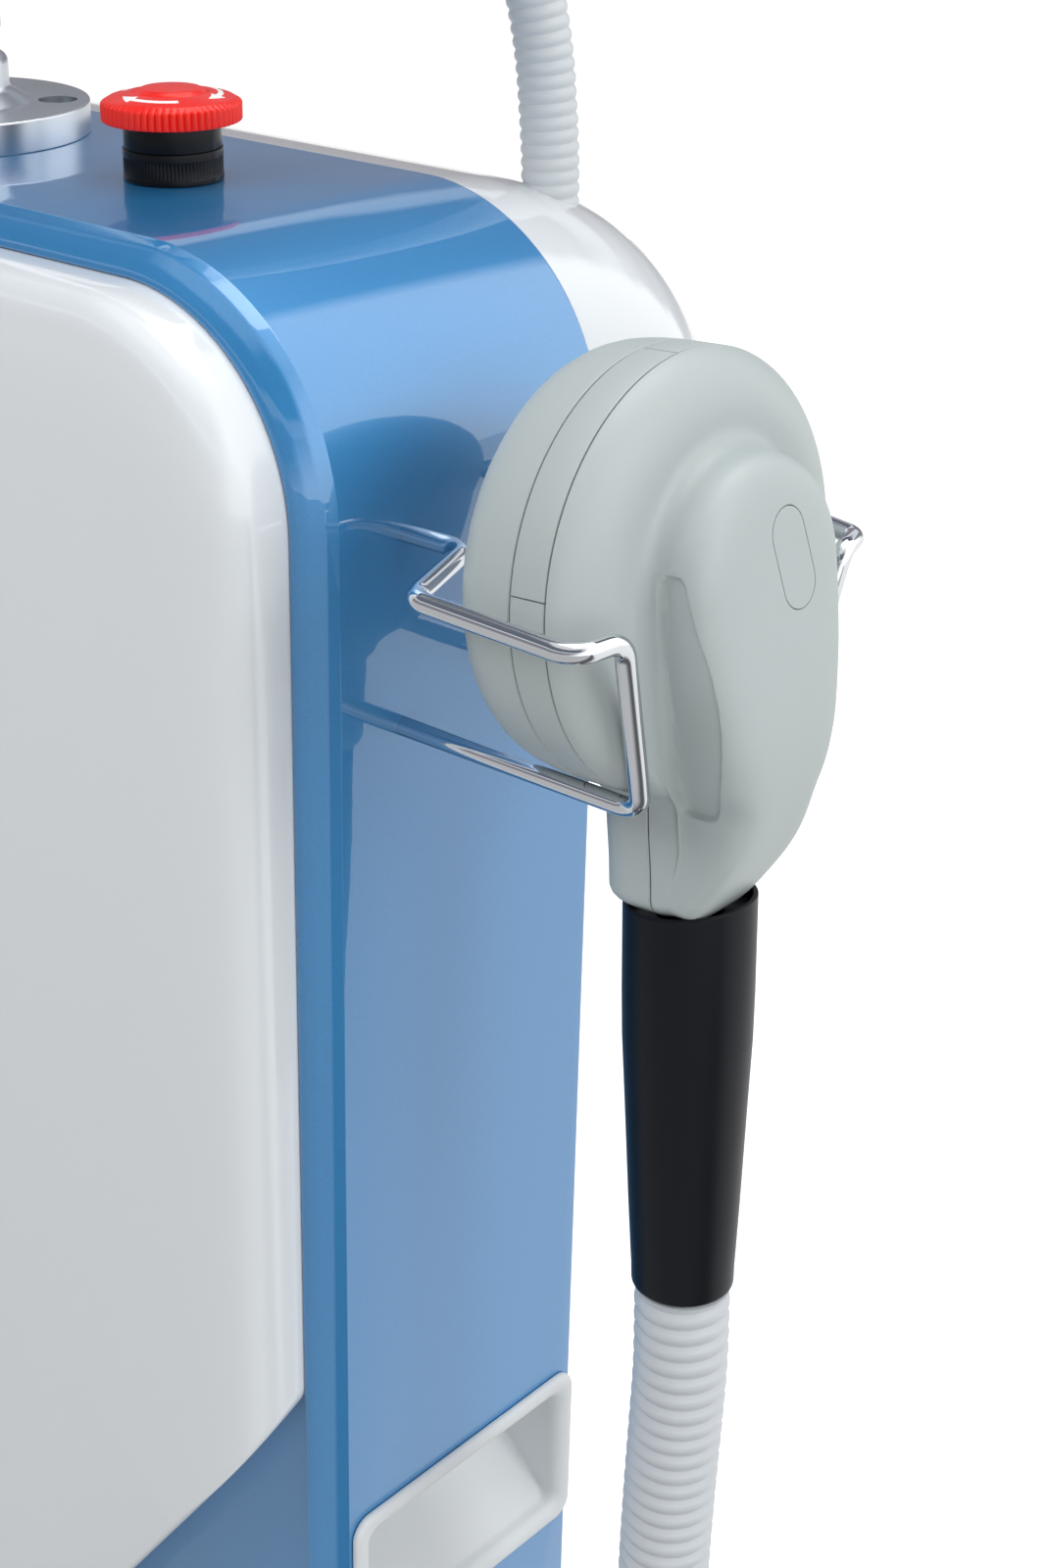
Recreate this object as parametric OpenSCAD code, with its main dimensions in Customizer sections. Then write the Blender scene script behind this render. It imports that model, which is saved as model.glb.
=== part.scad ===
// Mobile therapy tower: a slim cabinet on castors with a swivelling screen, an
// emergency stop and a round hand applicator that hangs in a wire holder.
// Millimetres, +Z up, +X to the applicator's side, -Y to the front.

/* [Cabinet] */
// Height of the top deck above the floor
deck_h = 950; // [930:10:1000]
// Width over the blue arch
arch_w = 430; // [426:1:440]
// Depth of the blue arch, front crease to rear edge
arch_d = 108; // [106:1:114]
// Radius of the arch's shoulders
shoulder_r = 67; // [62:1:72]
// Wall of the arch
skin_t = 4; // [3.5:0.5:4.5]
// How far the front bevel of the arch runs inwards
bevel_in = 8; // [7:0.5:9]
// How far the front bevel of the arch runs forwards
bevel_out = 10; // [8:0.5:12]

/* [Front cover] */
// Gap between the bevel and the white cover
cover_gap = 1; // [0.8:0.1:1.5]
// Depth of the white cover
cover_d = 29; // [26:1:34]
// Wall of the white cover
cover_t = 3; // [2.5:0.5:3.5]
// Depth below the deck at which the cover's sides turn inwards
cover_side_h = 338; // [320:2:350]
// Slope of the cover's lower edges
cover_slope = 54.7; // [52:0.1:57]
// Radius of the cover's rounded tip
cover_tip_r = 50; // [48:1:60]
// Thickness of the blue front panel
panel_t = 3; // [2.5:0.5:3.5]

/* [Rear] */
// Depth of the white hood
hood_d = 71; // [68:1:76]
// Height of the white hood
hood_h = 165; // [155:1:175]
// Wall of the hood
hood_t = 3; // [2.5:0.5:3.5]
// Half-width of the rear housing
housing_hw = 138; // [132:1:140]
// Depth of the rear housing
housing_d = 64; // [62:1:66]
// Wall of the rear housing
housing_t = 3; // [2.5:0.5:3.5]

/* [Base and castors] */
// Length of the base, front to rear
base_l = 330; // [320:2:350]
// Width of the base
base_w = 410; // [400:2:416]
// Thickness of the base
base_t = 30; // [28:1:32]
// How far the base's centre lies behind the arch's centre
base_shift = 15; // [13:1:17]
// Diameter of a castor wheel
wheel_d = 75; // [70:1:78]
// Width of a castor wheel
wheel_w = 24; // [20:1:26]
// Offset of a wheel's axle behind its swivel
castor_trail = 25; // [22:1:28]
// Height of a castor under the base
castor_h = 88; // [86:1:92]

/* [Emergency stop] */
// Diameter of the red head
stop_head_d = 40; // [38:1:42]
// Diameter of the knurled collar
stop_collar_d = 28.7; // [28:0.1:30]
// Height of the head's rim above the deck
stop_rim_h = 16.4; // [15.5:0.1:18]
// Travel of the head
stop_travel = 4; // [3:0.5:4.5]
// Place of the stop from the middle of the deck
stop_x = 100; // [96:1:104]

/* [Arm and screen] */
// Diameter of the flange
flange_d = 87; // [84:1:90]
// Thickness of the flange
flange_t = 9.5; // [9:0.5:10.5]
// Radius of the screws' circle
flange_bolt_r = 33.5; // [33:0.5:35]
// Diameter of the round column
column_d = 35; // [33:1:36]
// Height of the tilt pin above the deck
tilt_h = 188; // [184:1:200]
// Width of the screen's case
screen_w = 290; // [270:5:300]
// Height of the screen's case
screen_h = 195; // [185:5:200]
// Thickness of the screen's case
screen_t = 28; // [24:1:32]
// Lean of the screen at rest
screen_lean = 20; // [15:1:25]

/* [Holder] */
// Thickness of the chrome wire
wire_d = 5.5; // [5:0.1:6]
// Depth of the upper rods below the deck
wire_top_z = 71.5; // [70:0.5:73]
// Depth of the lower rods below the deck
wire_low_z = 126.4; // [126:0.1:127]
// Distance of the lower rods from the arch's centre plane
wire_low_y = 30; // [30:0.5:31]

/* [Applicator] */
// Distance of the applicator's rear seam from the middle of the cabinet
disc_x = 274.1; // [273:0.1:276]
// Depth of the disc's centre below the deck
disc_z = 74; // [73.5:0.1:74.5]
// Lean of the applicator against the vertical
lean = 3.5; // [3:0.1:4]
// Radius of the disc
disc_r = 57.5; // [56:0.1:57.6]
// Width of the belt between the two shells
belt_w = 10.7; // [10:0.1:11.5]
// Depth of the back shell
back_d = 23; // [21:0.5:24]
// Wall of the applicator's shells
shell_t = 2.5; // [2:0.1:3]
// Distance from the belt to the front face
face_d = 9.8; // [9:0.1:10]
// Height of the boss's crest over the rear seam
boss_h = 43; // [41:0.5:44]
// Length of the neck below the disc's centre
neck_l = 92; // [90:1:94]
// Length of the handle sleeve
handle_l = 120; // [112:1:126]
// Diameter of the handle at its top
handle_top_d = 36; // [35:0.5:37]
// Diameter of the handle at its lower end
handle_low_d = 28.6; // [28:0.2:30]
// Length of the push button
button_l = 27; // [24:1:30]
// Width of the push button
button_w = 13.5; // [12:0.5:15]
// Running gap around the push button
button_gap = 0.25; // [0.2:0.05:0.4]

/* [Hoses] */
// Outer diameter of the applicator's hose
hose_d = 27.4; // [26.4:0.1:28]
// Outer diameter of the screen's conduit
conduit_d = 17.3; // [16:0.1:17.6]
// Wall of both, at the ribs
hose_wall = 3; // [2.5:0.1:3.5]

/* [Grips] */
// Width of a grip's bezel
grip_w = 106; // [100:1:112]
// Height of a grip's bezel
grip_h = 60; // [56:1:64]
// Depth of the bezel's top edge below the deck
grip_z = 387; // [380:1:392]
// How far the bezel stands out of the arch
grip_proud = 2.5; // [2:0.5:3]
// Depth of the grip's pocket behind the arch's surface
grip_depth = 28; // [24:1:30]

/* [Hidden] */
$fn = 64;

white = [0.88, 0.89, 0.91];
blue = [0.42, 0.6, 0.78];
pale_grey = [0.73, 0.76, 0.76];
black = [0.08, 0.09, 0.11];
red = [0.93, 0.18, 0.14];
silver = [0.7, 0.72, 0.75];
dark = [0.25, 0.26, 0.28];
copper = [0.72, 0.42, 0.2];

// The cabinet's own middle lies left of the origin, because the applicator
// widens the object to the right, and in front of it, because the base does.
right_reach = disc_x + boss_h * cos(lean) + 38 * sin(lean);
left_reach = arch_w / 2 + grip_proud;
mid_x = (left_reach - right_reach) / 2;
mid_y = -base_shift;
half_w = arch_w / 2;
half_d = arch_d / 2;
arch_low = castor_h + base_t - deck_h;
panel_front = -half_d - panel_t;
housing_back = half_d + housing_d;
run_gap = 0.05;
seat_gap = 0.2;

// Places a piece that is drawn from the middle of the deck.
module on_deck() {
    translate([mid_x, mid_y, deck_h]) children();
}

// Turns a drawing in X and Z with its depth along Y, front face at y0.
module facing_front(y0, depth) {
    translate([0, y0 + depth, 0]) rotate([90, 0, 0]) linear_extrude(depth) children();
}

// Round rod along Y, from y0 to y1.
module rod_y(r, y0, y1) {
    translate([0, y1, 0]) rotate([90, 0, 0]) cylinder(r = r, h = y1 - y0);
}

// Round rod along X, from x0 to x1.
module rod_x(r, x0, x1) {
    translate([x0, 0, 0]) rotate([0, 90, 0]) cylinder(r = r, h = x1 - x0);
}

// Corner points of a rectangle with round corners, centred.
function round_rect(w, h, r, n = 8) = [
    for (c = [[1, 1, 0], [-1, 1, 90], [-1, -1, 180], [1, -1, 270]])
        for (i = [0:n])
            [c[0] * (w / 2 - r) + r * cos(c[2] + 90 * i / n),
             c[1] * (h / 2 - r) + r * sin(c[2] + 90 * i / n)]
];

// Outline of an arch, in X and Z: round shoulders, square feet.
function arch_outline(hw, top, low, r, n = 12) = concat(
    [for (i = [0:n]) [hw - r + r * cos(90 * i / n), top - r + r * sin(90 * i / n)]],
    [for (i = [0:n]) [-hw + r - r * sin(90 * i / n), top - r + r * cos(90 * i / n)]],
    [[-hw, low], [hw, low]]
);

// ---------- cabinet shell ----------

// Wall section of the arch: inward distance from the outer skin, and depth.
arch_section = [
    [0, -half_d], [0, half_d - 1], [1, half_d], [skin_t, half_d],
    [skin_t, -half_d + 2], [bevel_in, -half_d - bevel_out + 3.5],
    [bevel_in, -half_d - bevel_out]
];

// Half of the arch: one leg, one shoulder and half the top.
module half_arch() {
    translate([0, 0, arch_low])
        linear_extrude(-shoulder_r - arch_low)
            polygon([for (p = arch_section) [half_w - p[0], p[1]]]);
    translate([half_w - shoulder_r, 0, -shoulder_r])
        rotate([90, 0, 0])
            rotate_extrude(angle = 90, $fn = 96)
                polygon([for (p = arch_section) [shoulder_r - p[0], -p[1]]]);
    rotate([90, 0, 90])
        linear_extrude(half_w - shoulder_r)
            polygon([for (p = arch_section) [p[1], -p[0]]]);
}

grip_box_w = grip_w - 10;
grip_box_h = grip_h - 10;
grip_mid_z = -grip_z - grip_h / 2;
grip_fit = 0.5;

// Window in the arch and its uprights for a grip's box.
module grip_window() {
    translate([half_w - 60, -grip_box_w / 2 - grip_fit, grip_mid_z - grip_box_h / 2 - grip_fit])
        cube([100, grip_box_w + 2 * grip_fit, grip_box_h + 2 * grip_fit]);
}

wire_hole_gap = 0.15;

// Four holes through the right wall for the holder's rods.
module wire_holes(r) {
    for (s = [-1, 1]) {
        translate([0, s * wire_up_y, -wire_top_z]) rod_x(r, half_w - 40, half_w + 10);
        translate([0, s * wire_low_y, -wire_low_z]) rod_x(r, half_w - 40, half_w + 10);
    }
}

stop_hole_r = 11.15;
bolt_r = 2.5;

module arch_shell() {
    color(blue) on_deck() difference() {
        union() {
            half_arch();
            mirror([1, 0, 0]) half_arch();
        }
        for (s = [0, 1]) mirror([s, 0, 0]) grip_window();
        wire_holes(wire_d / 2 + wire_hole_gap);
        translate([stop_x, 0, -20]) cylinder(r = stop_hole_r, h = 40);
        flange_bolts(bolt_r + 0.25);
    }
}

// Places something at each of the flange's four screws.
module at_flange_bolts() {
    for (a = [45:90:315]) rotate([0, 0, a]) translate([flange_bolt_r, 0, 0]) children();
}

module flange_bolts(r) {
    at_flange_bolts() translate([0, 0, -20]) cylinder(r = r, h = 40);
}

cover_hw = half_w - bevel_in - cover_gap;
cover_top = -bevel_in - cover_gap;
cover_r = shoulder_r - bevel_in - cover_gap;
tip_z = -cover_side_h + (cover_tip_r - cover_hw * sin(cover_slope)) / cos(cover_slope);

// Shield outline of the white cover, drawn in by a distance.
function shield(d) =
    let (hw = cover_hw - d, r = cover_r - d, t = cover_tip_r - d, a = 90 - cover_slope,
         low = -cover_side_h + d * (1 - sin(cover_slope)) / cos(cover_slope))
    concat(
        [for (i = [0:10]) [hw - r + r * cos(9 * i), cover_top - d - r + r * sin(9 * i)]],
        [for (i = [0:10]) [-hw + r - r * sin(9 * i), cover_top - d - r + r * cos(9 * i)]],
        [[-hw, low]],
        [for (i = [0:8]) let (b = a - 180 + (180 - 2 * a) * i / 8)
            [t * cos(b), tip_z + t * sin(b)]],
        [[hw, low]]
    );

// Crown of the cover: forward share of its depth, and inward distance.
cover_crown = [[0, 0], [0.3, 0.5], [0.6, 3.5], [0.8, 10], [0.93, 22], [1, 44]];

// Solid of the cover's outside, drawn in by a wall.
module cover_body(wall, back) {
    hull() for (s = cover_crown)
        facing_front(panel_front + back - s[0] * (cover_d + back - wall) - 0.1, 0.1)
            polygon(shield(s[1] + wall));
}

module front_cover() {
    color(white) on_deck() difference() {
        cover_body(0, 0);
        cover_body(cover_t, 1);
    }
}

// The panel lies in the arch's front lip, its edge just clear of the lip.
panel_inset = bevel_in - 1;

module lower_front_panel() {
    color(blue) on_deck()
        facing_front(panel_front, panel_t)
            polygon(arch_outline(half_w - panel_inset, -panel_inset, arch_low,
                                 shoulder_r - panel_inset));
}

// Slices of the hood: share of its depth, side inset, top drop, bottom rise.
hood_slices = [
    [0, 1.5, 1.5, 0], [0.55, 2, 8, 0], [0.8, 4, 15, 0], [0.93, 11, 26, 8], [1, 26, 44, 24]
];

module hood_body(wall, front) {
    hull() for (s = hood_slices)
        facing_front(half_d - front + s[0] * (hood_d + front - wall) - (s[0] > 0 ? 0.1 : 0), 0.1)
            polygon(arch_outline(half_w - s[1] - wall, -s[2] - wall, -hood_h + s[3] + wall,
                                 shoulder_r - s[1] - wall));
}

hose_port = [160, 92];
conduit_port = [163, 92];
conduit_seat_z = -20;
conduit_hole_r = conduit_d / 2 + 1;
hose_hole_r = 11;

module rear_hood() {
    color(white) on_deck() difference() {
        union() {
            difference() {
                hood_body(0, 0);
                hood_body(hood_t, 1);
            }
            intersection() {
                hood_body(0.3, 0);
                translate([conduit_port[0], conduit_port[1], conduit_seat_z])
                    cylinder(r = 15, h = 60);
            }
        }
        translate([conduit_port[0], conduit_port[1], -60]) cylinder(r = conduit_hole_r, h = 90);
        translate([hose_port[0], hose_port[1], -hood_h - 1]) cylinder(r = hose_hole_r + seat_gap, h = 10);
    }
}

housing_len = -hood_h - arch_low;

// Box behind the arch, on a back plate that closes the arch under the hood.
module rear_housing() {
    plate_hw = half_w - skin_t - seat_gap;
    color(white) on_deck()
        translate([0, 0, arch_low]) difference() {
            union() {
                translate([-housing_hw, half_d - 1, 0])
                    cube([2 * housing_hw, housing_d + 1, housing_len]);
                translate([-plate_hw, half_d - housing_t, 0])
                    cube([2 * plate_hw, housing_t, housing_len]);
            }
            translate([-housing_hw + housing_t, half_d - 5, housing_t])
                cube([2 * (housing_hw - housing_t), housing_d + 6, housing_len - 2 * housing_t]);
        }
}

panel_gap = 0.3;
// The fan and the vents keep their share of the housing's height.
vent_share = housing_len / 667;
fan_z = -hood_h - 250 * vent_share;
vent_pitch = 14 * vent_share;
vent_drop = 130 * vent_share;
vent_w = 180;
vent_h = 5;
fan_size = 120;
fan_bore_r = 57;
inlet_z = arch_low + 60;
inlet_x = -70;
inlet_w = 74;
inlet_h = 32;

module service_panel() {
    hw = housing_hw - housing_t - panel_gap;
    low = arch_low + housing_t + panel_gap;
    top = -hood_h - housing_t - panel_gap;
    color(white) on_deck() difference() {
        translate([-hw, housing_back - housing_t, low]) cube([2 * hw, housing_t, top - low]);
        difference() {
            translate([0, 0, fan_z]) rod_y(fan_bore_r - 2, housing_back - 10, housing_back + 1);
            for (i = [-4:4])
                translate([-70, housing_back - 12, fan_z - 1.5 + i * 12]) cube([140, 20, 3]);
            translate([0, 0, fan_z]) rod_y(20, housing_back - 12, housing_back + 2);
        }
        for (i = [0:9])
            translate([-vent_w / 2, housing_back - 10, fan_z - vent_drop - vent_pitch * i])
                cube([vent_w, 20, vent_h]);
        translate([inlet_x - inlet_w / 2, housing_back - 10, inlet_z - inlet_h / 2])
            cube([inlet_w, 20, inlet_h]);
    }
}

upright_t = 6;
sheet_t = 3;
deck_plate_t = 6;
deck_plate_hw = 138;
deck_plate_hd = 48;
upright_hd = half_d - housing_t - 0.2;
upright_x = half_w - skin_t - upright_t;
upright_top = -shoulder_r - 1;
// The first shelf lies under the holder's nuts, the others share the height below it.
first_shelf = -wire_low_z - 23.6;
shelf_room = first_shelf - arch_low;
shelf_tops = [for (s = [0, 150, 320, 510]) first_shelf - s * shelf_room / 682];

module chassis_frame() {
    color(silver) on_deck() difference() {
        union() {
            translate([-upright_x - upright_t, -upright_hd, arch_low])
                cube([2 * (upright_x + upright_t), 2 * upright_hd, sheet_t]);
            for (s = [-1, 1]) {
                translate([s * (upright_x + upright_t / 2) - upright_t / 2, -upright_hd, arch_low])
                    cube([upright_t, 2 * upright_hd, upright_top - arch_low]);
                translate([s * (upright_x - 4) - 7, -half_d, arch_low])
                    cube([14, 4, upright_top - arch_low]);
                translate([s * (deck_plate_hw - 2) - 2, -upright_hd + 10, shelf_tops[0] - 1])
                    cube([4, 2 * upright_hd - 20, -shelf_tops[0] - skin_t - deck_plate_t + 2]);
            }
            for (z = shelf_tops)
                translate([-upright_x - 1, -upright_hd, z - sheet_t])
                    cube([2 * upright_x + 2, 2 * upright_hd, sheet_t]);
            translate([-deck_plate_hw, -deck_plate_hd, -skin_t - deck_plate_t])
                cube([2 * deck_plate_hw, 2 * deck_plate_hd, deck_plate_t]);
        }
        for (s = [0, 1]) mirror([s, 0, 0]) grip_window();
        wire_holes(wire_d / 2 + wire_hole_gap);
        translate([stop_x, 0, -30]) cylinder(r = stop_hole_r, h = 40);
        flange_bolts(bolt_r);
    }
}

castor_x = base_w / 2 - 40;
castor_y = [-base_l / 2 + 45, base_l / 2 - 64];
kingpin_r = 6;
kingpin_l = base_t - 6;

// The base runs the length of the cabinet's foot, with a bore for each kingpin.
module base_plinth() {
    color(dark) translate([mid_x, 0, castor_h]) difference() {
        linear_extrude(base_t) polygon(round_rect(base_w, base_l, 40));
        for (x = [-castor_x, castor_x])
            for (y = castor_y)
                translate([x, y, -1]) cylinder(r = kingpin_r + run_gap, h = kingpin_l + 1.3);
    }
}

// ---------- castors ----------

fork_gap = 1.5;
fork_leg_t = 4;
fork_in = wheel_w / 2 + fork_gap;
fork_out = fork_in + fork_leg_t;
axle_r = 4;
axle_z = wheel_d / 2;
crown_z = castor_h - 0.3;
crown_t = 5.5;

// Places a castor piece under its corner of the base.
module at_castor(side, row) {
    translate([mid_x + side * castor_x, castor_y[row], 0]) children();
}

module castor_fork() {
    difference() {
        union() {
            translate([0, 0, crown_z - crown_t]) cylinder(r = 21, h = crown_t);
            translate([0, 0, crown_z - 1]) cylinder(r = kingpin_r, h = kingpin_l + 1);
            for (s = [-1, 1])
                translate([s * (fork_in + fork_leg_t / 2) - fork_leg_t / 2, 0, 0])
                    rotate([90, 0, 90]) linear_extrude(fork_leg_t)
                        polygon([[-14, crown_z - 1], [14, crown_z - 1],
                                 [castor_trail + 10, axle_z + 6],
                                 [castor_trail + 7, axle_z - 9],
                                 [castor_trail - 7, axle_z - 9],
                                 [castor_trail - 12, axle_z + 4]]);
        }
        translate([0, castor_trail, axle_z]) rod_x(axle_r, -30, 30);
    }
}

module castor_axle() {
    translate([0, castor_trail, axle_z]) {
        rod_x(axle_r, -fork_out, fork_out);
        rod_x(6.5, fork_out, fork_out + 2.5);
        rod_x(6.5, -fork_out - 2.5, -fork_out);
    }
}

module castor_wheel() {
    r = wheel_d / 2;
    hw = wheel_w / 2;
    hub_hw = fork_in - seat_gap;
    translate([0, castor_trail, axle_z]) rotate([0, 90, 0])
        rotate_extrude($fn = 96)
            polygon([[axle_r + run_gap, -hub_hw], [11, -hub_hw], [12, -hw + 4], [r - 9, -hw + 4],
                     [r - 8, -hw], [r - 3, -hw], [r - 0.6, -hw + 4], [r, -hw + 8],
                     [r, hw - 8], [r - 0.6, hw - 4], [r - 3, hw], [r - 8, hw],
                     [r - 9, hw - 4], [12, hw - 4], [11, hub_hw], [axle_r + run_gap, hub_hw]]);
}

module front_left_fork() { color(silver) at_castor(-1, 0) castor_fork(); }
module front_left_axle() { color(silver) at_castor(-1, 0) castor_axle(); }
module front_left_wheel() { color(dark) at_castor(-1, 0) castor_wheel(); }
module front_right_fork() { color(silver) at_castor(1, 0) castor_fork(); }
module front_right_axle() { color(silver) at_castor(1, 0) castor_axle(); }
module front_right_wheel() { color(dark) at_castor(1, 0) castor_wheel(); }
module rear_left_fork() { color(silver) at_castor(-1, 1) castor_fork(); }
module rear_left_axle() { color(silver) at_castor(-1, 1) castor_axle(); }
module rear_left_wheel() { color(dark) at_castor(-1, 1) castor_wheel(); }
module rear_right_fork() { color(silver) at_castor(1, 1) castor_fork(); }
module rear_right_axle() { color(silver) at_castor(1, 1) castor_axle(); }
module rear_right_wheel() { color(dark) at_castor(1, 1) castor_wheel(); }

// ---------- grips ----------

grip_wall = 2.5;

// Recessed carrying grip: a bezel on the skin and a pocket whose floor slopes.
module grip() {
    in_w = grip_box_w - 2 * grip_wall;
    in_h = grip_box_h - 2 * grip_wall;
    translate([half_w, 0, grip_mid_z]) difference() {
        union() {
            rotate([90, 0, 90]) linear_extrude(grip_proud)
                polygon(round_rect(grip_w, grip_h, 7));
            translate([-grip_depth - grip_wall, -grip_box_w / 2, -grip_box_h / 2])
                cube([grip_depth + grip_wall + 1, grip_box_w, grip_box_h]);
        }
        translate([0, in_w / 2, 0]) rotate([90, 0, 0]) linear_extrude(in_w)
            polygon([[grip_proud + 1, -in_h / 2 - 1], [grip_proud + 1, in_h / 2],
                     [-grip_depth, in_h / 2], [-grip_depth, in_h / 2 - 16],
                     [-4, -in_h / 2]]);
    }
}

module right_grip() { color(white) on_deck() grip(); }
module left_grip() { color(white) on_deck() mirror([1, 0, 0]) grip(); }

// ---------- emergency stop ----------

stop_body_r = 13.2;
stop_neck_r = 11;
stop_stem_r = 5;
stop_collar_h = 9;
stop_low = -42;
stop_top = stop_rim_h - 0.6;

module stop_head() {
    r = stop_head_d / 2;
    color(red) on_deck() translate([stop_x, 0, stop_rim_h]) rotate_extrude($fn = 96)
        polygon([[stop_stem_r - 1 + run_gap, 5.2], [stop_body_r + 0.5, 5.2],
                 [stop_body_r + 0.5, 0], [r - 0.6, 0], [r, 0.6], [r, 6.2], [r - 0.8, 7.2],
                 [r - 4, 8.3], [r - 9, 9.2], [r - 9.3, 8.9], [r - 9.6, 9.3], [r - 14, 10.6],
                 [0, 11], [0, 9], [stop_stem_r - 1 + run_gap, 9]]);
}

module stop_stem() {
    color(black) on_deck() translate([stop_x, 0, 0]) {
        translate([0, 0, stop_low + 2]) cylinder(r = stop_stem_r, h = stop_rim_h + 5 - stop_low - 2);
        translate([0, 0, stop_rim_h + 4]) cylinder(r = stop_stem_r - 1, h = 4.8);
    }
}

module stop_body() {
    color(black) on_deck() translate([stop_x, 0, 0]) difference() {
        union() {
            translate([0, 0, stop_low]) cylinder(r = stop_neck_r, h = stop_collar_h - stop_low);
            translate([0, 0, stop_collar_h]) cylinder(r = stop_body_r, h = stop_top - stop_collar_h);
        }
        translate([0, 0, stop_low - 1])
            cylinder(r = stop_stem_r + run_gap, h = stop_top - stop_low + 2);
    }
}

module stop_collar() {
    color(black) on_deck() translate([stop_x, 0, 0]) difference() {
        cylinder(r = stop_collar_d / 2, h = stop_collar_h);
        translate([0, 0, -1]) cylinder(r = stop_neck_r, h = stop_collar_h + 2);
    }
}

module stop_contacts() {
    low = stop_low - 24;
    color(dark) on_deck() translate([stop_x, 0, 0]) difference() {
        translate([-15, -15, low]) cube([30, 30, stop_low - low]);
        translate([0, 0, stop_low - stop_travel - 1]) cylinder(r = stop_stem_r + 1, h = 10);
    }
}

// ---------- arm and screen ----------

column_r = column_d / 2;
spindle_r = 10;
post_r = 19;
post_h = flange_t + 14.5;
column_low = post_h + 3.5;
spindle_top = 62;
pin_r = 4;
ear_t = 6;
knuckle_hw = 8.7;
socket_reach = 38;
socket_z = 152;
socket_azimuth = atan2(conduit_port[1], conduit_port[0]);

module arm_flange() {
    r = flange_d / 2;
    color(silver) on_deck() difference() {
        rotate_extrude($fn = 96)
            polygon([[0, 0], [r, 0], [r, flange_t - 0.8], [r - 0.8, flange_t],
                     [post_r + 7, flange_t], [post_r, flange_t + 4.5], [post_r, post_h - 3],
                     [post_r - 1, post_h - 1], [post_r - 4, post_h], [spindle_r, post_h],
                     [spindle_r, spindle_top - 1], [spindle_r - 1, spindle_top], [0, spindle_top]]);
        at_flange_bolts() {
            translate([0, 0, -1]) cylinder(r = bolt_r + 0.25, h = 20);
            translate([0, 0, 3]) cylinder(r = 6, h = 20);
        }
    }
}

module flange_screws() {
    color(silver) on_deck() at_flange_bolts() difference() {
        union() {
            translate([0, 0, -skin_t - deck_plate_t]) cylinder(r = bolt_r, h = skin_t + deck_plate_t + 4);
            translate([0, 0, 3]) cylinder(r = 4.75, h = 5);
        }
        translate([0, 0, 5]) cylinder(r = 2.3, h = 6, $fn = 6);
    }
}

module arm_column() {
    color(silver) on_deck() difference() {
        union() {
            translate([0, 0, column_low]) cylinder(r1 = column_r - 3, r2 = column_r, h = 4);
            translate([0, 0, column_low + 4]) cylinder(r = column_r, h = tilt_h - 20 - column_low - 4);
            for (s = [-1, 1])
                translate([s * (knuckle_hw + 0.3 + ear_t / 2) - ear_t / 2, 0, tilt_h]) {
                    rod_x(10, 0, ear_t);
                    translate([0, -10, -22]) cube([ear_t, 20, 22]);
                }
        }
        translate([0, 0, column_low - 1])
            cylinder(r = spindle_r + run_gap, h = spindle_top + seat_gap - column_low + 1);
        translate([0, 0, tilt_h]) rod_x(pin_r, -40, 40);
    }
}

module conduit_socket() {
    color(dark) on_deck() rotate([0, 0, socket_azimuth]) difference() {
        intersection() {
            translate([0, 0, socket_z]) rod_x(11, 4, socket_reach + 5);
            translate([0, 0, socket_z - 20]) cylinder(r = socket_reach, h = 40);
        }
        translate([0, 0, socket_z - 30]) cylinder(r = column_r, h = 60);
    }
}

module tilt_pin() {
    reach = knuckle_hw + 0.3 + ear_t;
    color(silver) on_deck() translate([0, 0, tilt_h]) {
        rod_x(pin_r, -reach, reach);
        rod_x(6.5, reach, reach + 2.5);
        rod_x(6.5, -reach - 2.5, -reach);
    }
}

plate_y = -22;
plate_t = 4;
screen_mid = 30;
screen_back = plate_y - plate_t;
glass_t = 1.5;
bezel = 8;
vesa = 75;

// Places a piece that tilts with the screen.
module at_screen() {
    on_deck() translate([0, 0, tilt_h]) rotate([-screen_lean, 0, 0]) children();
}

module screen_bracket() {
    color(dark) at_screen() difference() {
        union() {
            rod_x(10, -knuckle_hw, knuckle_hw);
            translate([-knuckle_hw, plate_y, -9]) cube([2 * knuckle_hw, -plate_y, 18]);
            translate([-48, screen_back, screen_mid - 55]) cube([96, plate_t, 110]);
        }
        rod_x(pin_r + run_gap, -40, 40);
        for (x = [-vesa / 2, vesa / 2])
            for (z = [-vesa / 2, vesa / 2])
                translate([x, 0, screen_mid + z]) rod_y(2.25, screen_back - 1, plate_y + 1);
    }
}

module screen_case() {
    color(white) at_screen() translate([0, 0, screen_mid]) difference() {
        facing_front(screen_back - screen_t, screen_t) polygon(round_rect(screen_w, screen_h, 14));
        facing_front(screen_back - screen_t - 1, glass_t + 1)
            polygon(round_rect(screen_w - 2 * bezel, screen_h - 2 * bezel, 8));
    }
}

module screen_glass() {
    fit = 2 * bezel + 0.4;
    color([0.05, 0.06, 0.08]) at_screen() translate([0, 0, screen_mid])
        facing_front(screen_back - screen_t, glass_t)
            polygon(round_rect(screen_w - fit, screen_h - fit, 7.8));
}

// ---------- wire holder ----------

wire_up_y = 29;
wire_in = half_w - 18;
wire_bend = 8;
rear_bend = 5;

// Corners of the front loop, from the upper hole round to the lower hole.
wire_corners = [
    [wire_in, -wire_up_y, -wire_top_z],
    [half_w + 20.5, -wire_up_y, -wire_top_z],
    [half_w + 33.3, -64, -wire_top_z],
    [half_w + 86.5, -67, -wire_top_z],
    [half_w + 88.3, -50.7, -wire_top_z],
    [half_w + 80.7, -wire_low_y, -wire_low_z],
    [wire_in, -wire_low_y, -wire_low_z]
];

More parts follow.
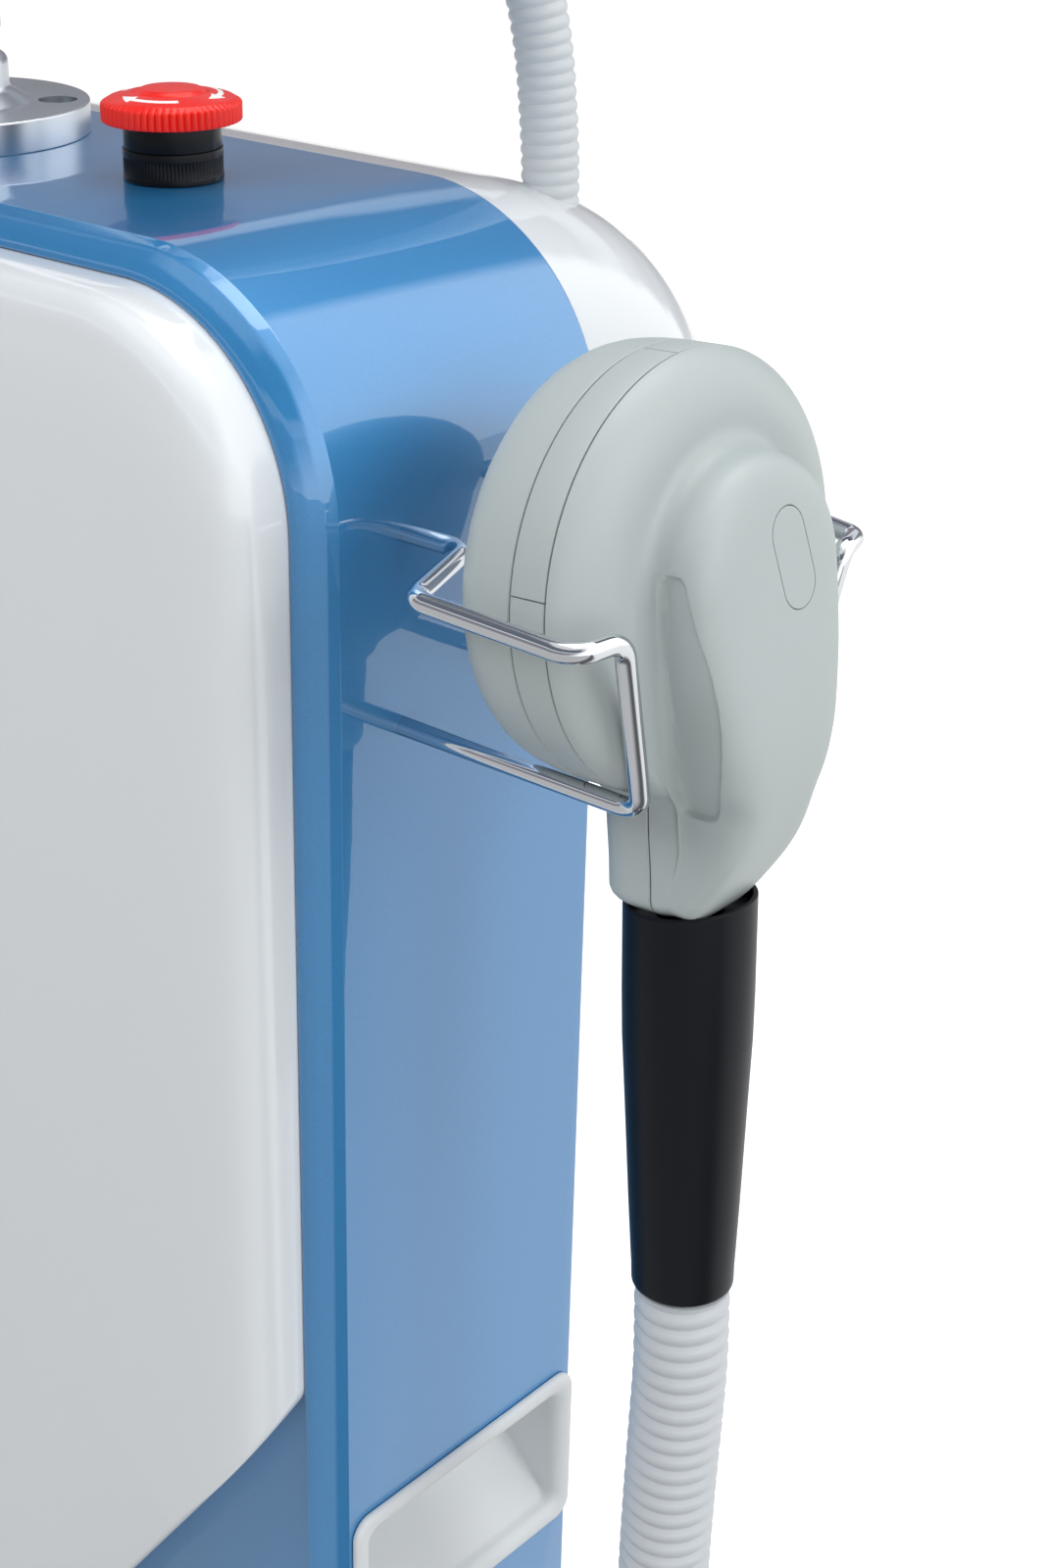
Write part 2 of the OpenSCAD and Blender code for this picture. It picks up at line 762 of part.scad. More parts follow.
// The rear loop hooks closer round the disc's edge, and a little lower.
rear_drop = 4.2;
rear_corners = [
    [wire_in, wire_up_y, -wire_top_z],
    [half_w + 20.5, wire_up_y, -wire_top_z],
    [half_w + 33.3, 61, -wire_top_z - rear_drop / 2],
    [half_w + 68, 61, -wire_top_z - rear_drop],
    [half_w + 82.5, 57.6, -wire_top_z - rear_drop],
    [half_w + 86, 46, -wire_top_z - rear_drop],
    [half_w + 83.5, wire_low_y, -wire_low_z],
    [wire_in, wire_low_y, -wire_low_z]
];

function unit(v) = v / norm(v);

// Rounds each inner corner of a route into a short arc of straight steps.
function rounded(p, r, n = 4) = concat([p[0]], [
    for (i = [1:len(p) - 2])
        let (a = unit(p[i - 1] - p[i]), b = unit(p[i + 1] - p[i]),
             half = acos(max(-1, min(1, a * b))) / 2,
             cut = r / tan(half), mid = unit(a + b),
             c = p[i] + mid * (r / sin(half)),
             u = unit(p[i] + a * cut - c), w = unit(p[i] + b * cut - c),
             turn = 180 - 2 * half, side = unit(w - u * cos(turn)))
            for (k = [0:n]) c + r * (u * cos(turn * k / n) + side * sin(turn * k / n))
], [p[len(p) - 1]]);

// Direction of a route at one of its points.
function heading(p, i) =
    unit(p[min(i + 1, len(p) - 1)] - p[max(i - 1, 0)]);

// Ring of points round a route's point, square to the route.
function ring(p, i, r, ref, n) =
    let (t = heading(p, i), u = unit(ref - t * (ref * t)), v = cross(t, u))
        [for (k = [0:n - 1]) p[i] + r * (u * cos(360 * k / n) + v * sin(360 * k / n))];

// Side faces between consecutive rings, as triangles.
function ring_sides(first, rings, n, flip = false) = [
    for (j = [0:rings - 2])
        for (k = [0:n - 1])
            let (a = first + j * n + k, b = first + j * n + (k + 1) % n)
                for (f = [[a, b + n, b], [a, a + n, b + n]]) flip ? [f[2], f[1], f[0]] : f
];

// Solid round bar along a route.
module bar(p, r, ref, n = 12) {
    m = len(p);
    points = [for (i = [0:m - 1]) each ring(p, i, r, ref, n)];
    ends = [
        for (k = [1:n - 2]) for (f = [[0, k, k + 1], [(m - 1) * n, (m - 1) * n + k + 1, (m - 1) * n + k]]) f
    ];
    polyhedron(points, concat(ring_sides(0, m, n), ends), convexity = 6);
}

module front_holder_wire() {
    color(silver) on_deck() bar(rounded(wire_corners, wire_bend), wire_d / 2, [0.2, 0.3, 0.93]);
}

module rear_holder_wire() {
    color(silver) on_deck() bar(rounded(rear_corners, rear_bend), wire_d / 2, [0.2, -0.3, 0.93]);
}

// Nuts that clamp the rods' ends against the uprights, inside the cabinet.
module holder_nuts() {
    color(silver) on_deck() for (s = [-1, 1])
        for (p = [[s * wire_up_y, -wire_top_z], [s * wire_low_y, -wire_low_z]])
            translate([0, p[0], p[1]]) difference() {
                translate([upright_x - 5, 0, 0]) rotate([0, 90, 0]) cylinder(r = 5.2, h = 5, $fn = 6);
                rod_x(wire_d / 2 + run_gap, half_w - 60, half_w);
            }
}

// ---------- applicator ----------

handle_p = 10;
neck_hw = 16.8;
neck_back = -6.8;
neck_front = 26.5;
hatch_from = 94;
hatch_to = 172;

// Places a piece in the applicator's own frame: X through the disc, Z up its axis.
module at_applicator() {
    on_deck() translate([disc_x, 0, -disc_z]) rotate([0, -lean, 0]) children();
}

// Turns a section of radius and depth round the disc's axis.
module disc_turn() {
    rotate([0, 90, 0]) rotate_extrude($fn = 128) children();
}

// Round corner post of the neck, along the applicator's axis.
module neck_post(p, q, r, z0, z1) {
    translate([p, q, z0]) cylinder(r = r, h = z1 - z0, $fn = 32);
}

module neck_block(p0, p1, hw, r, z0, z1) {
    hull() for (q = [-1, 1]) {
        neck_post(p0 + r, q * (hw - r), r, z0, z1);
        neck_post(p1 - r, q * (hw - r), r, z0, z1);
    }
}

module applicator_back_shell() {
    color(pale_grey) at_applicator() difference() {
        union() {
            disc_turn() polygon([[0, -back_d], [42, -back_d], [48, -back_d + 2], [52.5, -back_d + 5],
                                 [55.6, -back_d + 9], [57, -back_d + 14], [disc_r, 0], [0, 0]]);
            intersection() {
                neck_block(neck_back, neck_front, neck_hw, 9, -neck_l, -40);
                translate([neck_back - 1, -30, -neck_l - 1]) cube([belt_w - neck_back + 1, 60, 70]);
            }
        }
        disc_turn() polygon([[0, -back_d + shell_t], [42, -back_d + shell_t], [50, -back_d + 8],
                             [54, -back_d + 14], [disc_r - shell_t, 0], [disc_r - shell_t, 20],
                             [0, 20]]);
        neck_block(neck_back + shell_t, neck_front + 20, neck_hw - shell_t, 6,
                   -neck_l - 1, -disc_r + 15);
    }
}

// Discs that span the boss: place along the axis, height over the seam, radius.
boss_discs = [
    [6, 35.5, 25], [-14, boss_h - 3, 25], [-38, boss_h, 20], [-58, boss_h - 4, 15.5],
    [-79, boss_h - 13, 11.5]
];
boss_base_r = 33;
face_p = belt_w + face_d;

// Disc of the boss, with its edge drawn in at the front.
module boss_disc(z, p, r) {
    translate([p - 6, 0, z]) rotate([0, 90, 0]) {
        cylinder(r1 = r + 3.5, r2 = r + 1, h = 3.5, $fn = 48);
        translate([0, 0, 3.5]) cylinder(r1 = r + 1, r2 = r - 2.5, h = 2.5, $fn = 48);
    }
}

module boss_body(wall) {
    hull() {
        for (d = boss_discs) boss_disc(d[0], d[1] - wall, d[2] - wall);
        translate([belt_w + 1, 0, 2]) rotate([0, 90, 0])
            cylinder(r = boss_base_r - wall, h = face_d, $fn = 48);
        translate([belt_w + 0.1, 0, 0])
            neck_post(neck_hw - wall, 0, neck_hw - wall - 1, -neck_l, -60);
    }
}

// Half of the neck in front of the seam.
module neck_front_half(wall) {
    intersection() {
        neck_block(neck_back, neck_front - wall, neck_hw - wall, 9, -neck_l - wall, -30);
        translate([belt_w, -30, -neck_l - 5]) cube([60, 60, 70]);
    }
}

// Finger recess in the boss's flank.
module finger_recess() {
    hull() {
        translate([23.5, 29.5, 4]) sphere(r = 4.5, $fn = 24);
        translate([31, 26.5, -40]) sphere(r = 8, $fn = 24);
        translate([31.5, 24, -48]) sphere(r = 6, $fn = 24);
    }
}

button_q = 5;
button_r_mid = 8;
button_turn = 12;

// Prism of the push button's outline, grown by a gap.
module button_prism(gap, from) {
    translate([from, button_q, button_r_mid]) rotate([button_turn, 0, 0])
        rotate([90, 0, 90]) linear_extrude(60)
            polygon(round_rect(button_w + 2 * gap, button_l + 2 * gap,
                               button_w / 2 + gap - 0.01, 12));
}

module applicator_front_shell() {
    lip = disc_r - shell_t;
    color(pale_grey) at_applicator() difference() {
        union() {
            disc_turn() polygon([[0, belt_w], [disc_r, belt_w], [disc_r - 1, belt_w + 3],
                                 [disc_r - 4, belt_w + 6.4], [disc_r - 8, belt_w + 8.6],
                                 [disc_r - 14, face_p], [0, face_p]]);
            boss_body(0);
            neck_front_half(0);
        }
        disc_turn() polygon([[0, belt_w - 1], [lip, belt_w - 1], [lip - 3, belt_w + 4],
                             [lip - 12, face_p - shell_t], [0, face_p - shell_t]]);
        boss_body(shell_t);
        translate([0, 0, -30]) boss_body(shell_t + 1);
        for (s = [0, 1]) mirror([0, s, 0]) finger_recess();
        button_prism(button_gap, 30);
    }
}

module trigger_button() {
    color(pale_grey) at_applicator() intersection() {
        difference() {
            boss_body(0);
            translate([-4, 0, 0]) boss_body(0);
        }
        button_prism(0, 30);
    }
}

// Sector of the belt's ring, between two angles round the disc's axis.
module belt_sector(a0, a1) {
    translate([belt_w, 0, 0]) rotate([a0, 0, 0]) rotate([0, 90, 0]) rotate([0, 0, 90])
        translate([0, 0, -belt_w]) rotate_extrude(angle = a1 - a0, $fn = 128)
            polygon([[disc_r - shell_t, 0], [disc_r, 0], [disc_r, belt_w], [disc_r - shell_t, belt_w]]);
}

neck_half_angle = asin((neck_hw + 0.1) / (disc_r - shell_t));

module rim_belt() {
    color(pale_grey) at_applicator()
        belt_sector(hatch_to + 0.2, 270 - neck_half_angle);
    color(pale_grey) at_applicator()
        belt_sector(270 + neck_half_angle, 360 + hatch_from - 0.2);
}

module rim_hatch() {
    color(pale_grey) at_applicator() belt_sector(hatch_from, hatch_to);
}

core_p = -back_d + shell_t;
core_len = back_d - shell_t + 6;

module coil_core() {
    color(dark) at_applicator() difference() {
        union() {
            translate([core_p, 0, 0]) rotate([0, 90, 0]) cylinder(r = 41, h = 2);
            translate([core_p, 0, 0]) rotate([0, 90, 0]) cylinder(r = 14, h = core_len);
        }
        translate([core_p - 1, 0, 0]) rotate([0, 90, 0]) cylinder(r = 5, h = core_len + 2);
    }
}

module coil_winding() {
    color(copper) at_applicator() translate([core_p + 2, 0, 0]) rotate([0, 90, 0])
        difference() {
            cylinder(r = 40, h = core_len - 4);
            translate([0, 0, -1]) cylinder(r = 14, h = core_len);
            for (r = [18:4:38])
                translate([0, 0, core_len - 5]) difference() {
                    cylinder(r = r + 0.4, h = 3);
                    translate([0, 0, -1]) cylinder(r = r - 0.4, h = 5);
                }
        }
}

// The sleeve leans a little less than the housing.
handle_back = 1.4;
handle_shift = 1.2;

// Black sleeve: a round rim over the neck's foot, tapering to the hose.
module handle_sleeve() {
    rt = handle_top_d / 2;
    rl = handle_low_d / 2;
    color(black) at_applicator() difference() {
        translate([handle_p + handle_shift, 0, -neck_l]) rotate([0, handle_back, 0]) difference() {
            rotate_extrude($fn = 96)
                polygon([[0, -handle_l], [rl - 2.5, -handle_l], [rl - 0.6, 1.5 - handle_l],
                         [rl, 6 - handle_l], [rl + 0.3, 12 - handle_l],
                         [rl + 1.2, 27 - handle_l], [rl + 2.6, 59 - handle_l],
                         [rt - 0.2, 80 - handle_l], [rt, 94 - handle_l], [rt, 1], [0, 1]]);
            translate([0, 0, -handle_l - 1]) cylinder(r = 9, h = handle_l - 8);
        }
        translate([handle_p - handle_top_d, -handle_top_d, -neck_l])
            cube([2 * handle_top_d, 2 * handle_top_d, 5]);
    }
}

// ---------- hoses ----------

// The applicator's hose: down from the handle, round in a wide loop and up
// behind the arch to the hood. Places are from the middle of the deck.
hose_gap = 0.3;
hose_p = handle_p + handle_shift - (handle_l + hose_gap) * sin(handle_back);
hose_r = -neck_l - (handle_l + hose_gap) * cos(handle_back);
handle_end = [disc_x + hose_p * cos(lean) - hose_r * sin(lean), 0,
              -disc_z + hose_p * sin(lean) + hose_r * cos(lean)];
gland_t = 12;
cuff_l = 42;
hose_end_z = -hood_h - gland_t - cuff_l;
hose_route = [
    [296.2, 0, -312], [295.7, 0, -335], [294.9, 0, -362], [294.6, 0, -396], [296.5, 0.4, -440],
    [302, 1.4, -490], [311, 3.2, -538], [324.5, 7, -586], [341, 11, -632], [354, 16, -675], [358, 19, -716],
    [354, 20.5, -746], [344, 24, -773], [328, 30, -796], [308, 37.5, -812],
    [284, 46.5, -822], [259, 56, -825], [233, 66, -821], [209, 74.5, -811],
    [189, 82, -795], [173, 87.5, -773], [164, 91, -747], [160, 92, -716],
    [160, 92, -660], [160, 92, -590], [160, 92, -520], [160, 92, -450], [160, 92, -380],
    [160, 92, -310], [160, 92, -250]
];

// The screen's conduit: up from the hood and over to the column's socket.
socket_end = [(socket_reach + seat_gap) * cos(socket_azimuth),
              (socket_reach + seat_gap) * sin(socket_azimuth), socket_z];
conduit_route = [
    [163, 92, -4], [162, 91.5, 14], [160, 90.5, 34], [156, 88, 56], [150, 84.5, 78],
    [141, 79.5, 99], [129, 73, 117], [114, 64.5, 132], [97, 55, 143], [78, 44, 150],
    [59, 33.3, 152.5], [46, 26, 152.2]
];

// Point of a smooth curve through a route, at a share t of span i.
function spline(p, i, t) =
    let (a = p[max(i - 1, 0)], b = p[i], c = p[i + 1], d = p[min(i + 2, len(p) - 1)])
        0.5 * (2 * b + (c - a) * t + (2 * a - 5 * b + 4 * c - d) * t * t
               + (3 * b - a - 3 * c + d) * t * t * t);

function smooth(p, n = 6) = concat(
    [for (i = [0:len(p) - 2]) for (k = [0:n - 1]) spline(p, i, k / n)], [p[len(p) - 1]]
);

// Running length at each point of a curve.
function run(p, i = 0, sum = 0, out = []) =
    i == len(p) ? out
    : let (s = i == 0 ? 0 : sum + norm(p[i] - p[i - 1])) run(p, i + 1, s, concat(out, [s]));

// Point of a curve at a running length.
function along(p, s, at) = [
    for (k = [0:2]) lookup(at, [for (i = [0:len(p) - 1]) [s[i], p[i][k]]])
];

// Ribbed tube with its bore: crest and root rings in turn, ends straight and square.
module ribbed_hose(route, d, wall, pitch, depth, ref, n = 8) {
    p = smooth(route);
    s = run(p);
    total = s[len(s) - 1];
    ribs = round(total / pitch);
    outer = [for (i = [0:2 * ribs]) along(p, s, total * i / (2 * ribs))];
    inner_n = ceil(total / (2.5 * d));
    inner = concat(
        [p[0]],
        [for (i = [0:inner_n]) along(p, s, 4 + (total - 8) * i / inner_n)],
        [p[len(p) - 1]]
    );
    m = len(outer);
    q = len(inner);
    base = m * n;
    points = concat(
        [for (i = [0:m - 1])
            each ring(outer, i, d / 2 - (i % 2 == 0 ? depth : 0), ref, n)],
        [for (i = [0:q - 1]) each ring(inner, i, d / 2 - wall - depth, ref, n)]
    );
    rims = [
        for (k = [0:n - 1])
            let (l = (k + 1) % n, o = (m - 1) * n, b = base + (q - 1) * n)
                for (f = [[k, l, base + l], [k, base + l, base + k],
                          [o + k, b + l, o + l], [o + k, b + k, b + l]]) f
    ];
    faces = concat(ring_sides(0, m, n), ring_sides(base, q, n, true), rims);
    polyhedron(points, faces, convexity = 10);
}

module applicator_hose() {
    color(pale_grey) on_deck()
        ribbed_hose(concat([handle_end], hose_route, [[hose_port[0], hose_port[1], hose_end_z]]),
                    hose_d, hose_wall, 10, 0.9, [0.3, 0.9, 0.1]);
}

module screen_conduit() {
    color(pale_grey) on_deck()
        ribbed_hose(concat([[conduit_port[0], conduit_port[1], conduit_seat_z]],
                           conduit_route, [socket_end]),
                    conduit_d, hose_wall - 1, 5, 0.5, [-0.49, 0.87, 0]);
}

module hose_gland() {
    color(dark) on_deck() translate([hose_port[0], hose_port[1], 0]) {
        difference() {
            union() {
                translate([0, 0, -hood_h - gland_t]) cylinder(r = 19, h = gland_t);
                translate([0, 0, -hood_h - 1]) cylinder(r = hose_hole_r, h = hood_t + 1);
                translate([0, 0, -hood_h + hood_t]) cylinder(r = 14, h = 5, $fn = 6);
            }
            translate([0, 0, -hood_h - gland_t - 1]) cylinder(r = 7.5, h = 40);
        }
    }
}

module hose_cuff() {
    top = -hood_h - gland_t;
    color(dark) on_deck() translate([hose_port[0], hose_port[1], top - cuff_l]) difference() {
        rotate_extrude()
            polygon([[7.5, 0], [hose_d / 2 + 1, 0], [hose_d / 2 + 1.5, 8], [17.5, cuff_l - 4],
                     [17.5, cuff_l], [7.5, cuff_l]]);
        for (i = [0:2]) translate([0, 0, 12 + 8 * i]) difference() {
            cylinder(r = 30, h = 2.5);
            translate([0, 0, -1]) cylinder(r = 14, h = 5);
        }
    }
}

module conduit_gland() {
    color(dark) on_deck() translate([conduit_port[0], conduit_port[1], conduit_seat_z])
        difference() {
            union() {
                translate([0, 0, -4]) cylinder(r = conduit_d / 2 + 3.35, h = 4);
                translate([0, 0, -16]) cylinder(r = 10, h = 13);
            }
            translate([0, 0, -20]) cylinder(r = 5.5, h = 30);
        }
}

// ---------- inside the cabinet ----------

supply_w = 250;
supply_l = 92;
supply_h = 80;
fin_pitch = 12;
fin_gap = 4;
fin_h = 10;

module power_supply() {
    top = arch_low + sheet_t + supply_h;
    color(silver) on_deck() difference() {
        translate([-supply_w / 2, -supply_l / 2, top - supply_h])
            cube([supply_w, supply_l, supply_h]);
        for (i = [-9:9])
            translate([i * fin_pitch - fin_gap / 2, -supply_l, top - fin_h])
                cube([fin_gap, 2 * supply_l, 2 * fin_h]);
    }
}

can_r = 24;
can_h = 112;
can_pitch = 60;
bar_l = 18;
bar_t = 4;

module capacitor_bank() {
    bar_w = 4 * can_pitch + 2 * can_r + bar_t;
    color(dark) on_deck() translate([0, 0, shelf_tops[3]]) {
        for (i = [-2:2]) translate([i * can_pitch, 0, 0]) cylinder(r = can_r, h = can_h);
        translate([-bar_w / 2, -bar_l / 2, can_h]) cube([bar_w, bar_l, bar_t]);
    }
}

tank_w = 95;
tank_l = 80;
tank_h = 70;
motor_r = 26;
motor_l = 60;
foot_w = 18;
foot_h = 12;
filler_r = 14;
filler_h = 22;

module coolant_pump() {
    color(dark) on_deck() translate([5, 0, shelf_tops[2]]) {
        translate([-tank_w, -tank_l / 2, 0]) cube([tank_w, tank_l, tank_h]);
        translate([0, 0, tank_h / 2]) rod_x(motor_r, -1, motor_l);
        translate([motor_l - foot_w - 7, -motor_l / 2, 0]) cube([foot_w, motor_l, foot_h]);
        translate([-tank_w / 2, 0, tank_h - 1]) cylinder(r = filler_r, h = filler_h);
    }
}

module control_board() {
    color([0.1, 0.35, 0.2]) on_deck() translate([0, 0, shelf_tops[1]]) {
        translate([-130, -44, 8]) cube([260, 88, 2]);
        for (x = [-120, 120]) for (y = [-36, 36]) translate([x, y, 0]) cylinder(r = 4, h = 9);
        translate([-90, -20, 9]) cube([40, 40, 8]);
        translate([-10, -30, 9]) cube([60, 24, 12]);
        translate([70, 0, 9]) cube([30, 34, 16]);
    }
}

fan_back = housing_back - housing_t;
fan_t = 25;

module fan_frame() {
    color(black) on_deck() difference() {
        union() {
            difference() {
                translate([-fan_size / 2, fan_back - fan_t, fan_z - fan_size / 2])
                    cube([fan_size, fan_t, fan_size]);
                translate([0, 0, fan_z]) rod_y(fan_bore_r, fan_back - fan_t - 1, fan_back + 1);
            }
            translate([0, 0, fan_z]) {
                rod_y(19, fan_back - fan_t, fan_back - fan_t + 4);
                rod_y(2, fan_back - fan_t + 3, fan_back - 6);
            }
            for (a = [0:120:240])
                translate([0, fan_back - fan_t, fan_z]) rotate([0, a, 0])
                    translate([15, 0, -3]) cube([fan_bore_r - 14, 4, 6]);
        }
        for (x = [-52.5, 52.5]) for (z = [-52.5, 52.5])
            translate([x, 0, fan_z + z]) rod_y(2.2, fan_back - fan_t - 1, fan_back + 1);
    }
}

module cooling_fan() {
    color(dark) on_deck() translate([0, 0, fan_z]) difference() {
        union() {
            rod_y(20, fan_back - fan_t + 4.2, fan_back - 3);
            for (i = [0:6]) rotate([0, i * 360 / 7, 0])
                translate([18, fan_back - 11, 0]) rotate([35, 0, 0])
                    translate([0, -8, -1]) cube([35, 16, 2]);
        }
        rod_y(2 + run_gap, fan_back - fan_t, fan_back - 5.5);
    }
}

rocker_w = 19;
rocker_h = 26;
rocker_pin_r = 1.5;

module mains_inlet() {
    y1 = housing_back + 2;
    pin_reach = rocker_w / 2 + seat_gap + 1;
    color(black) on_deck() translate([rocker_x, rocker_y, inlet_z])
        rod_x(rocker_pin_r, -pin_reach, pin_reach);
    color(black) on_deck() translate([inlet_x, 0, inlet_z]) difference() {
        union() {
            facing_front(housing_back, 2) polygon(round_rect(inlet_w + 8, inlet_h + 8, 4));
            translate([-inlet_w / 2 + 0.3, housing_back - 26, -inlet_h / 2 + 0.3])
                cube([inlet_w - 0.6, 26.5, inlet_h - 0.6]);
        }
        translate([-inlet_w / 2 + 4, y1 - 20, -10]) cube([28, 30, 20]);
        translate([inlet_w / 2 - 4 - rocker_w - 2 * seat_gap, y1 - 20, -rocker_h / 2 - 0.5])
            cube([rocker_w + 2 * seat_gap, 30, rocker_h + 1]);
    }
}

rocker_x = inlet_x + inlet_w / 2 - 4 - seat_gap - rocker_w / 2;
rocker_y = housing_back - 6;

rocker_tilt = 6;

// Rocker with a shallow vee for its face, resting on one side.
module power_rocker() {
    color(red) on_deck() translate([rocker_x, rocker_y, inlet_z]) rotate([rocker_tilt, 0, 0])
        difference() {
            translate([-rocker_w / 2, 0, 0]) rotate([90, 0, 90]) linear_extrude(rocker_w)
                polygon([[-6, -4], [5, -rocker_h / 2 + 1], [9, -rocker_h / 2 + 1.5],
                         [7, 0], [9, rocker_h / 2 - 1.5], [5, rocker_h / 2 - 1], [-6, 4]]);
            rod_x(rocker_pin_r + run_gap, -rocker_w, rocker_w);
        }
}

arch_shell();
front_cover();
lower_front_panel();
rear_hood();
rear_housing();
service_panel();
chassis_frame();
base_plinth();
right_grip();
left_grip();
arm_flange();
flange_screws();
arm_column();
conduit_socket();
tilt_pin();
screen_bracket();
screen_case();
screen_glass();
stop_head();
stop_stem();
stop_body();
stop_collar();
stop_contacts();
front_holder_wire();
rear_holder_wire();
holder_nuts();
applicator_back_shell();
applicator_front_shell();
rim_belt();
rim_hatch();
trigger_button();
coil_winding();
coil_core();
handle_sleeve();
applicator_hose();
hose_cuff();
hose_gland();
screen_conduit();
conduit_gland();
power_supply();
capacitor_bank();
control_board();
coolant_pump();
cooling_fan();
fan_frame();
mains_inlet();
power_rocker();
front_left_fork();
front_left_axle();
front_left_wheel();
front_right_fork();
front_right_axle();
front_right_wheel();
rear_left_fork();
rear_left_axle();
rear_left_wheel();
rear_right_fork();
rear_right_axle();
rear_right_wheel();
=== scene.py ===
import math

import bmesh
import bpy
import numpy as np
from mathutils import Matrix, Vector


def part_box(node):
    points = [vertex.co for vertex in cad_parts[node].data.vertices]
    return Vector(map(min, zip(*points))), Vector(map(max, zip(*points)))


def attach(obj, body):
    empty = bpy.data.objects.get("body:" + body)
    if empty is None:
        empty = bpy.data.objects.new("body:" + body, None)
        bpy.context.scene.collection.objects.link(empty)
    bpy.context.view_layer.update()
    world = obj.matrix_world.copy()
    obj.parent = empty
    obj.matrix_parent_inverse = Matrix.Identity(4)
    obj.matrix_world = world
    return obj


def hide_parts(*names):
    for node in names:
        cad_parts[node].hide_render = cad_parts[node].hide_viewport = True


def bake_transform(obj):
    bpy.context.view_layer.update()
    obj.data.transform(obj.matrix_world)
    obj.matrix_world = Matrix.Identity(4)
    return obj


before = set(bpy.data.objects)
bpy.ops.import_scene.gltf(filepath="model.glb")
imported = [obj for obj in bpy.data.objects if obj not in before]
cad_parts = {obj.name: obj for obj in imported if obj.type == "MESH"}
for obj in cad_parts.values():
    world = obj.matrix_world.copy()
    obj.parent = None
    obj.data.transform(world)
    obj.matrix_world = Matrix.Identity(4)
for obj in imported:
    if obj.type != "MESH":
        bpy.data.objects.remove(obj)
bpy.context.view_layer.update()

# --- The viewpoint ----------------------------------------------------
# Places below are in millimetres from the middle of the cabinet's flat top, where
# the screen's column stands; to_frame turns them into the frame's metres.
arch_low_corner, arch_high_corner = (np.array(corner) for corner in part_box("arch_shell"))
ARCH_HALF_DEPTH = 54.0
DECK_MIDDLE = np.array([
    (arch_low_corner[0] + arch_high_corner[0]) / 2,
    arch_high_corner[1] - ARCH_HALF_DEPTH / 1000,
    arch_high_corner[2],
])


def to_frame(points):
    """Millimetres from the deck's middle to metres in the frame: middle + points / 1000."""
    return DECK_MIDDLE + np.asarray(points, float) / 1000


def places(x, y, z):
    """Points from three coordinates, each one number or an array, broadcast together."""
    return np.stack(np.broadcast_arrays(x, y, z), -1)


camera_data = bpy.data.cameras.new("holder_view")
camera = bpy.data.objects.new("holder_view", camera_data)
bpy.context.scene.collection.objects.link(camera)
bpy.context.scene.camera = camera
camera.location = to_frame([642.0, -504.0, 155.1])
camera.rotation_euler = (math.radians(90 - 25.1), 0, math.radians(42.2))
camera_data.lens = 59.24
camera_data.sensor_width = 36.0
camera_data.shift_x = 0.08125
camera_data.clip_start = 0.02
camera_data.clip_end = 60

# --- Surface finishes -------------------------------------------------
# Each finish is a Principled shader whose colour, roughness and relief vary a little
# over the surface: a fine grain from the tool or the spray, and a broad mottling.


def feed(tree, socket, value):
    """Links a socket to another node's output, or sets it to a plain value."""
    if isinstance(value, bpy.types.NodeSocket):
        tree.links.new(value, socket)
    else:
        socket.default_value = value


def add_node(tree, kind, *values, **named):
    """Outputs of a new shader node. Lower-case names are its settings, capital ones its inputs,
    with _ for a space, and the values without a name go to its inputs in order."""
    node = tree.nodes.new("ShaderNode" + kind)
    for name, value in named.items():
        if name.islower():
            setattr(node, name, value)
        else:
            feed(tree, node.inputs[name.replace("_", " ")], value)
    for number, value in enumerate(values):
        feed(tree, node.inputs[number], value)
    return node.outputs


def mixed(tree, share, first, second):
    """Colour output of a Mix node: first where share is 0, second where it is 1."""
    node = tree.nodes.new("ShaderNodeMix")
    node.data_type = "RGBA"
    for number, value in ((0, share), (6, first), (7, second)):
        feed(tree, node.inputs[number], value)
    return node.outputs[2]


def surface_variation_group():
    """Group: grain = fine noise, mottle = broad noise, both 0 to 1, from Object coordinates."""
    group = bpy.data.node_groups.new("surface_variation", "ShaderNodeTree")
    for name, way, kind in (("Vector", "INPUT", "Vector"), ("Grain Scale", "INPUT", "Float"),
                            ("Mottle Scale", "INPUT", "Float"), ("Grain", "OUTPUT", "Float"),
                            ("Mottle", "OUTPUT", "Float")):
        group.interface.new_socket(name, in_out=way, socket_type="NodeSocket" + kind)
    entry = group.nodes.new("NodeGroupInput").outputs
    leave = group.nodes.new("NodeGroupOutput").inputs
    for result, detail in (("Grain", 2.0), ("Mottle", 3.0)):
        noise = add_node(group, "TexNoise", Vector=entry["Vector"], Scale=entry[result + " Scale"],
                         Detail=detail)
        feed(group, leave[result], noise["Fac"])
    return group


variation = surface_variation_group()


def srgb(red, green, blue):
    """Linear colour of an 0-255 sRGB one: ((c + 0.055) / 1.055) ^ 2.4, or c / 12.92 when dark."""
    c = np.array([red, green, blue]) / 255
    linear = np.where(c <= 0.04045, c / 12.92, ((c + 0.055) / 1.055) ** 2.4)
    return [float(v) for v in linear]


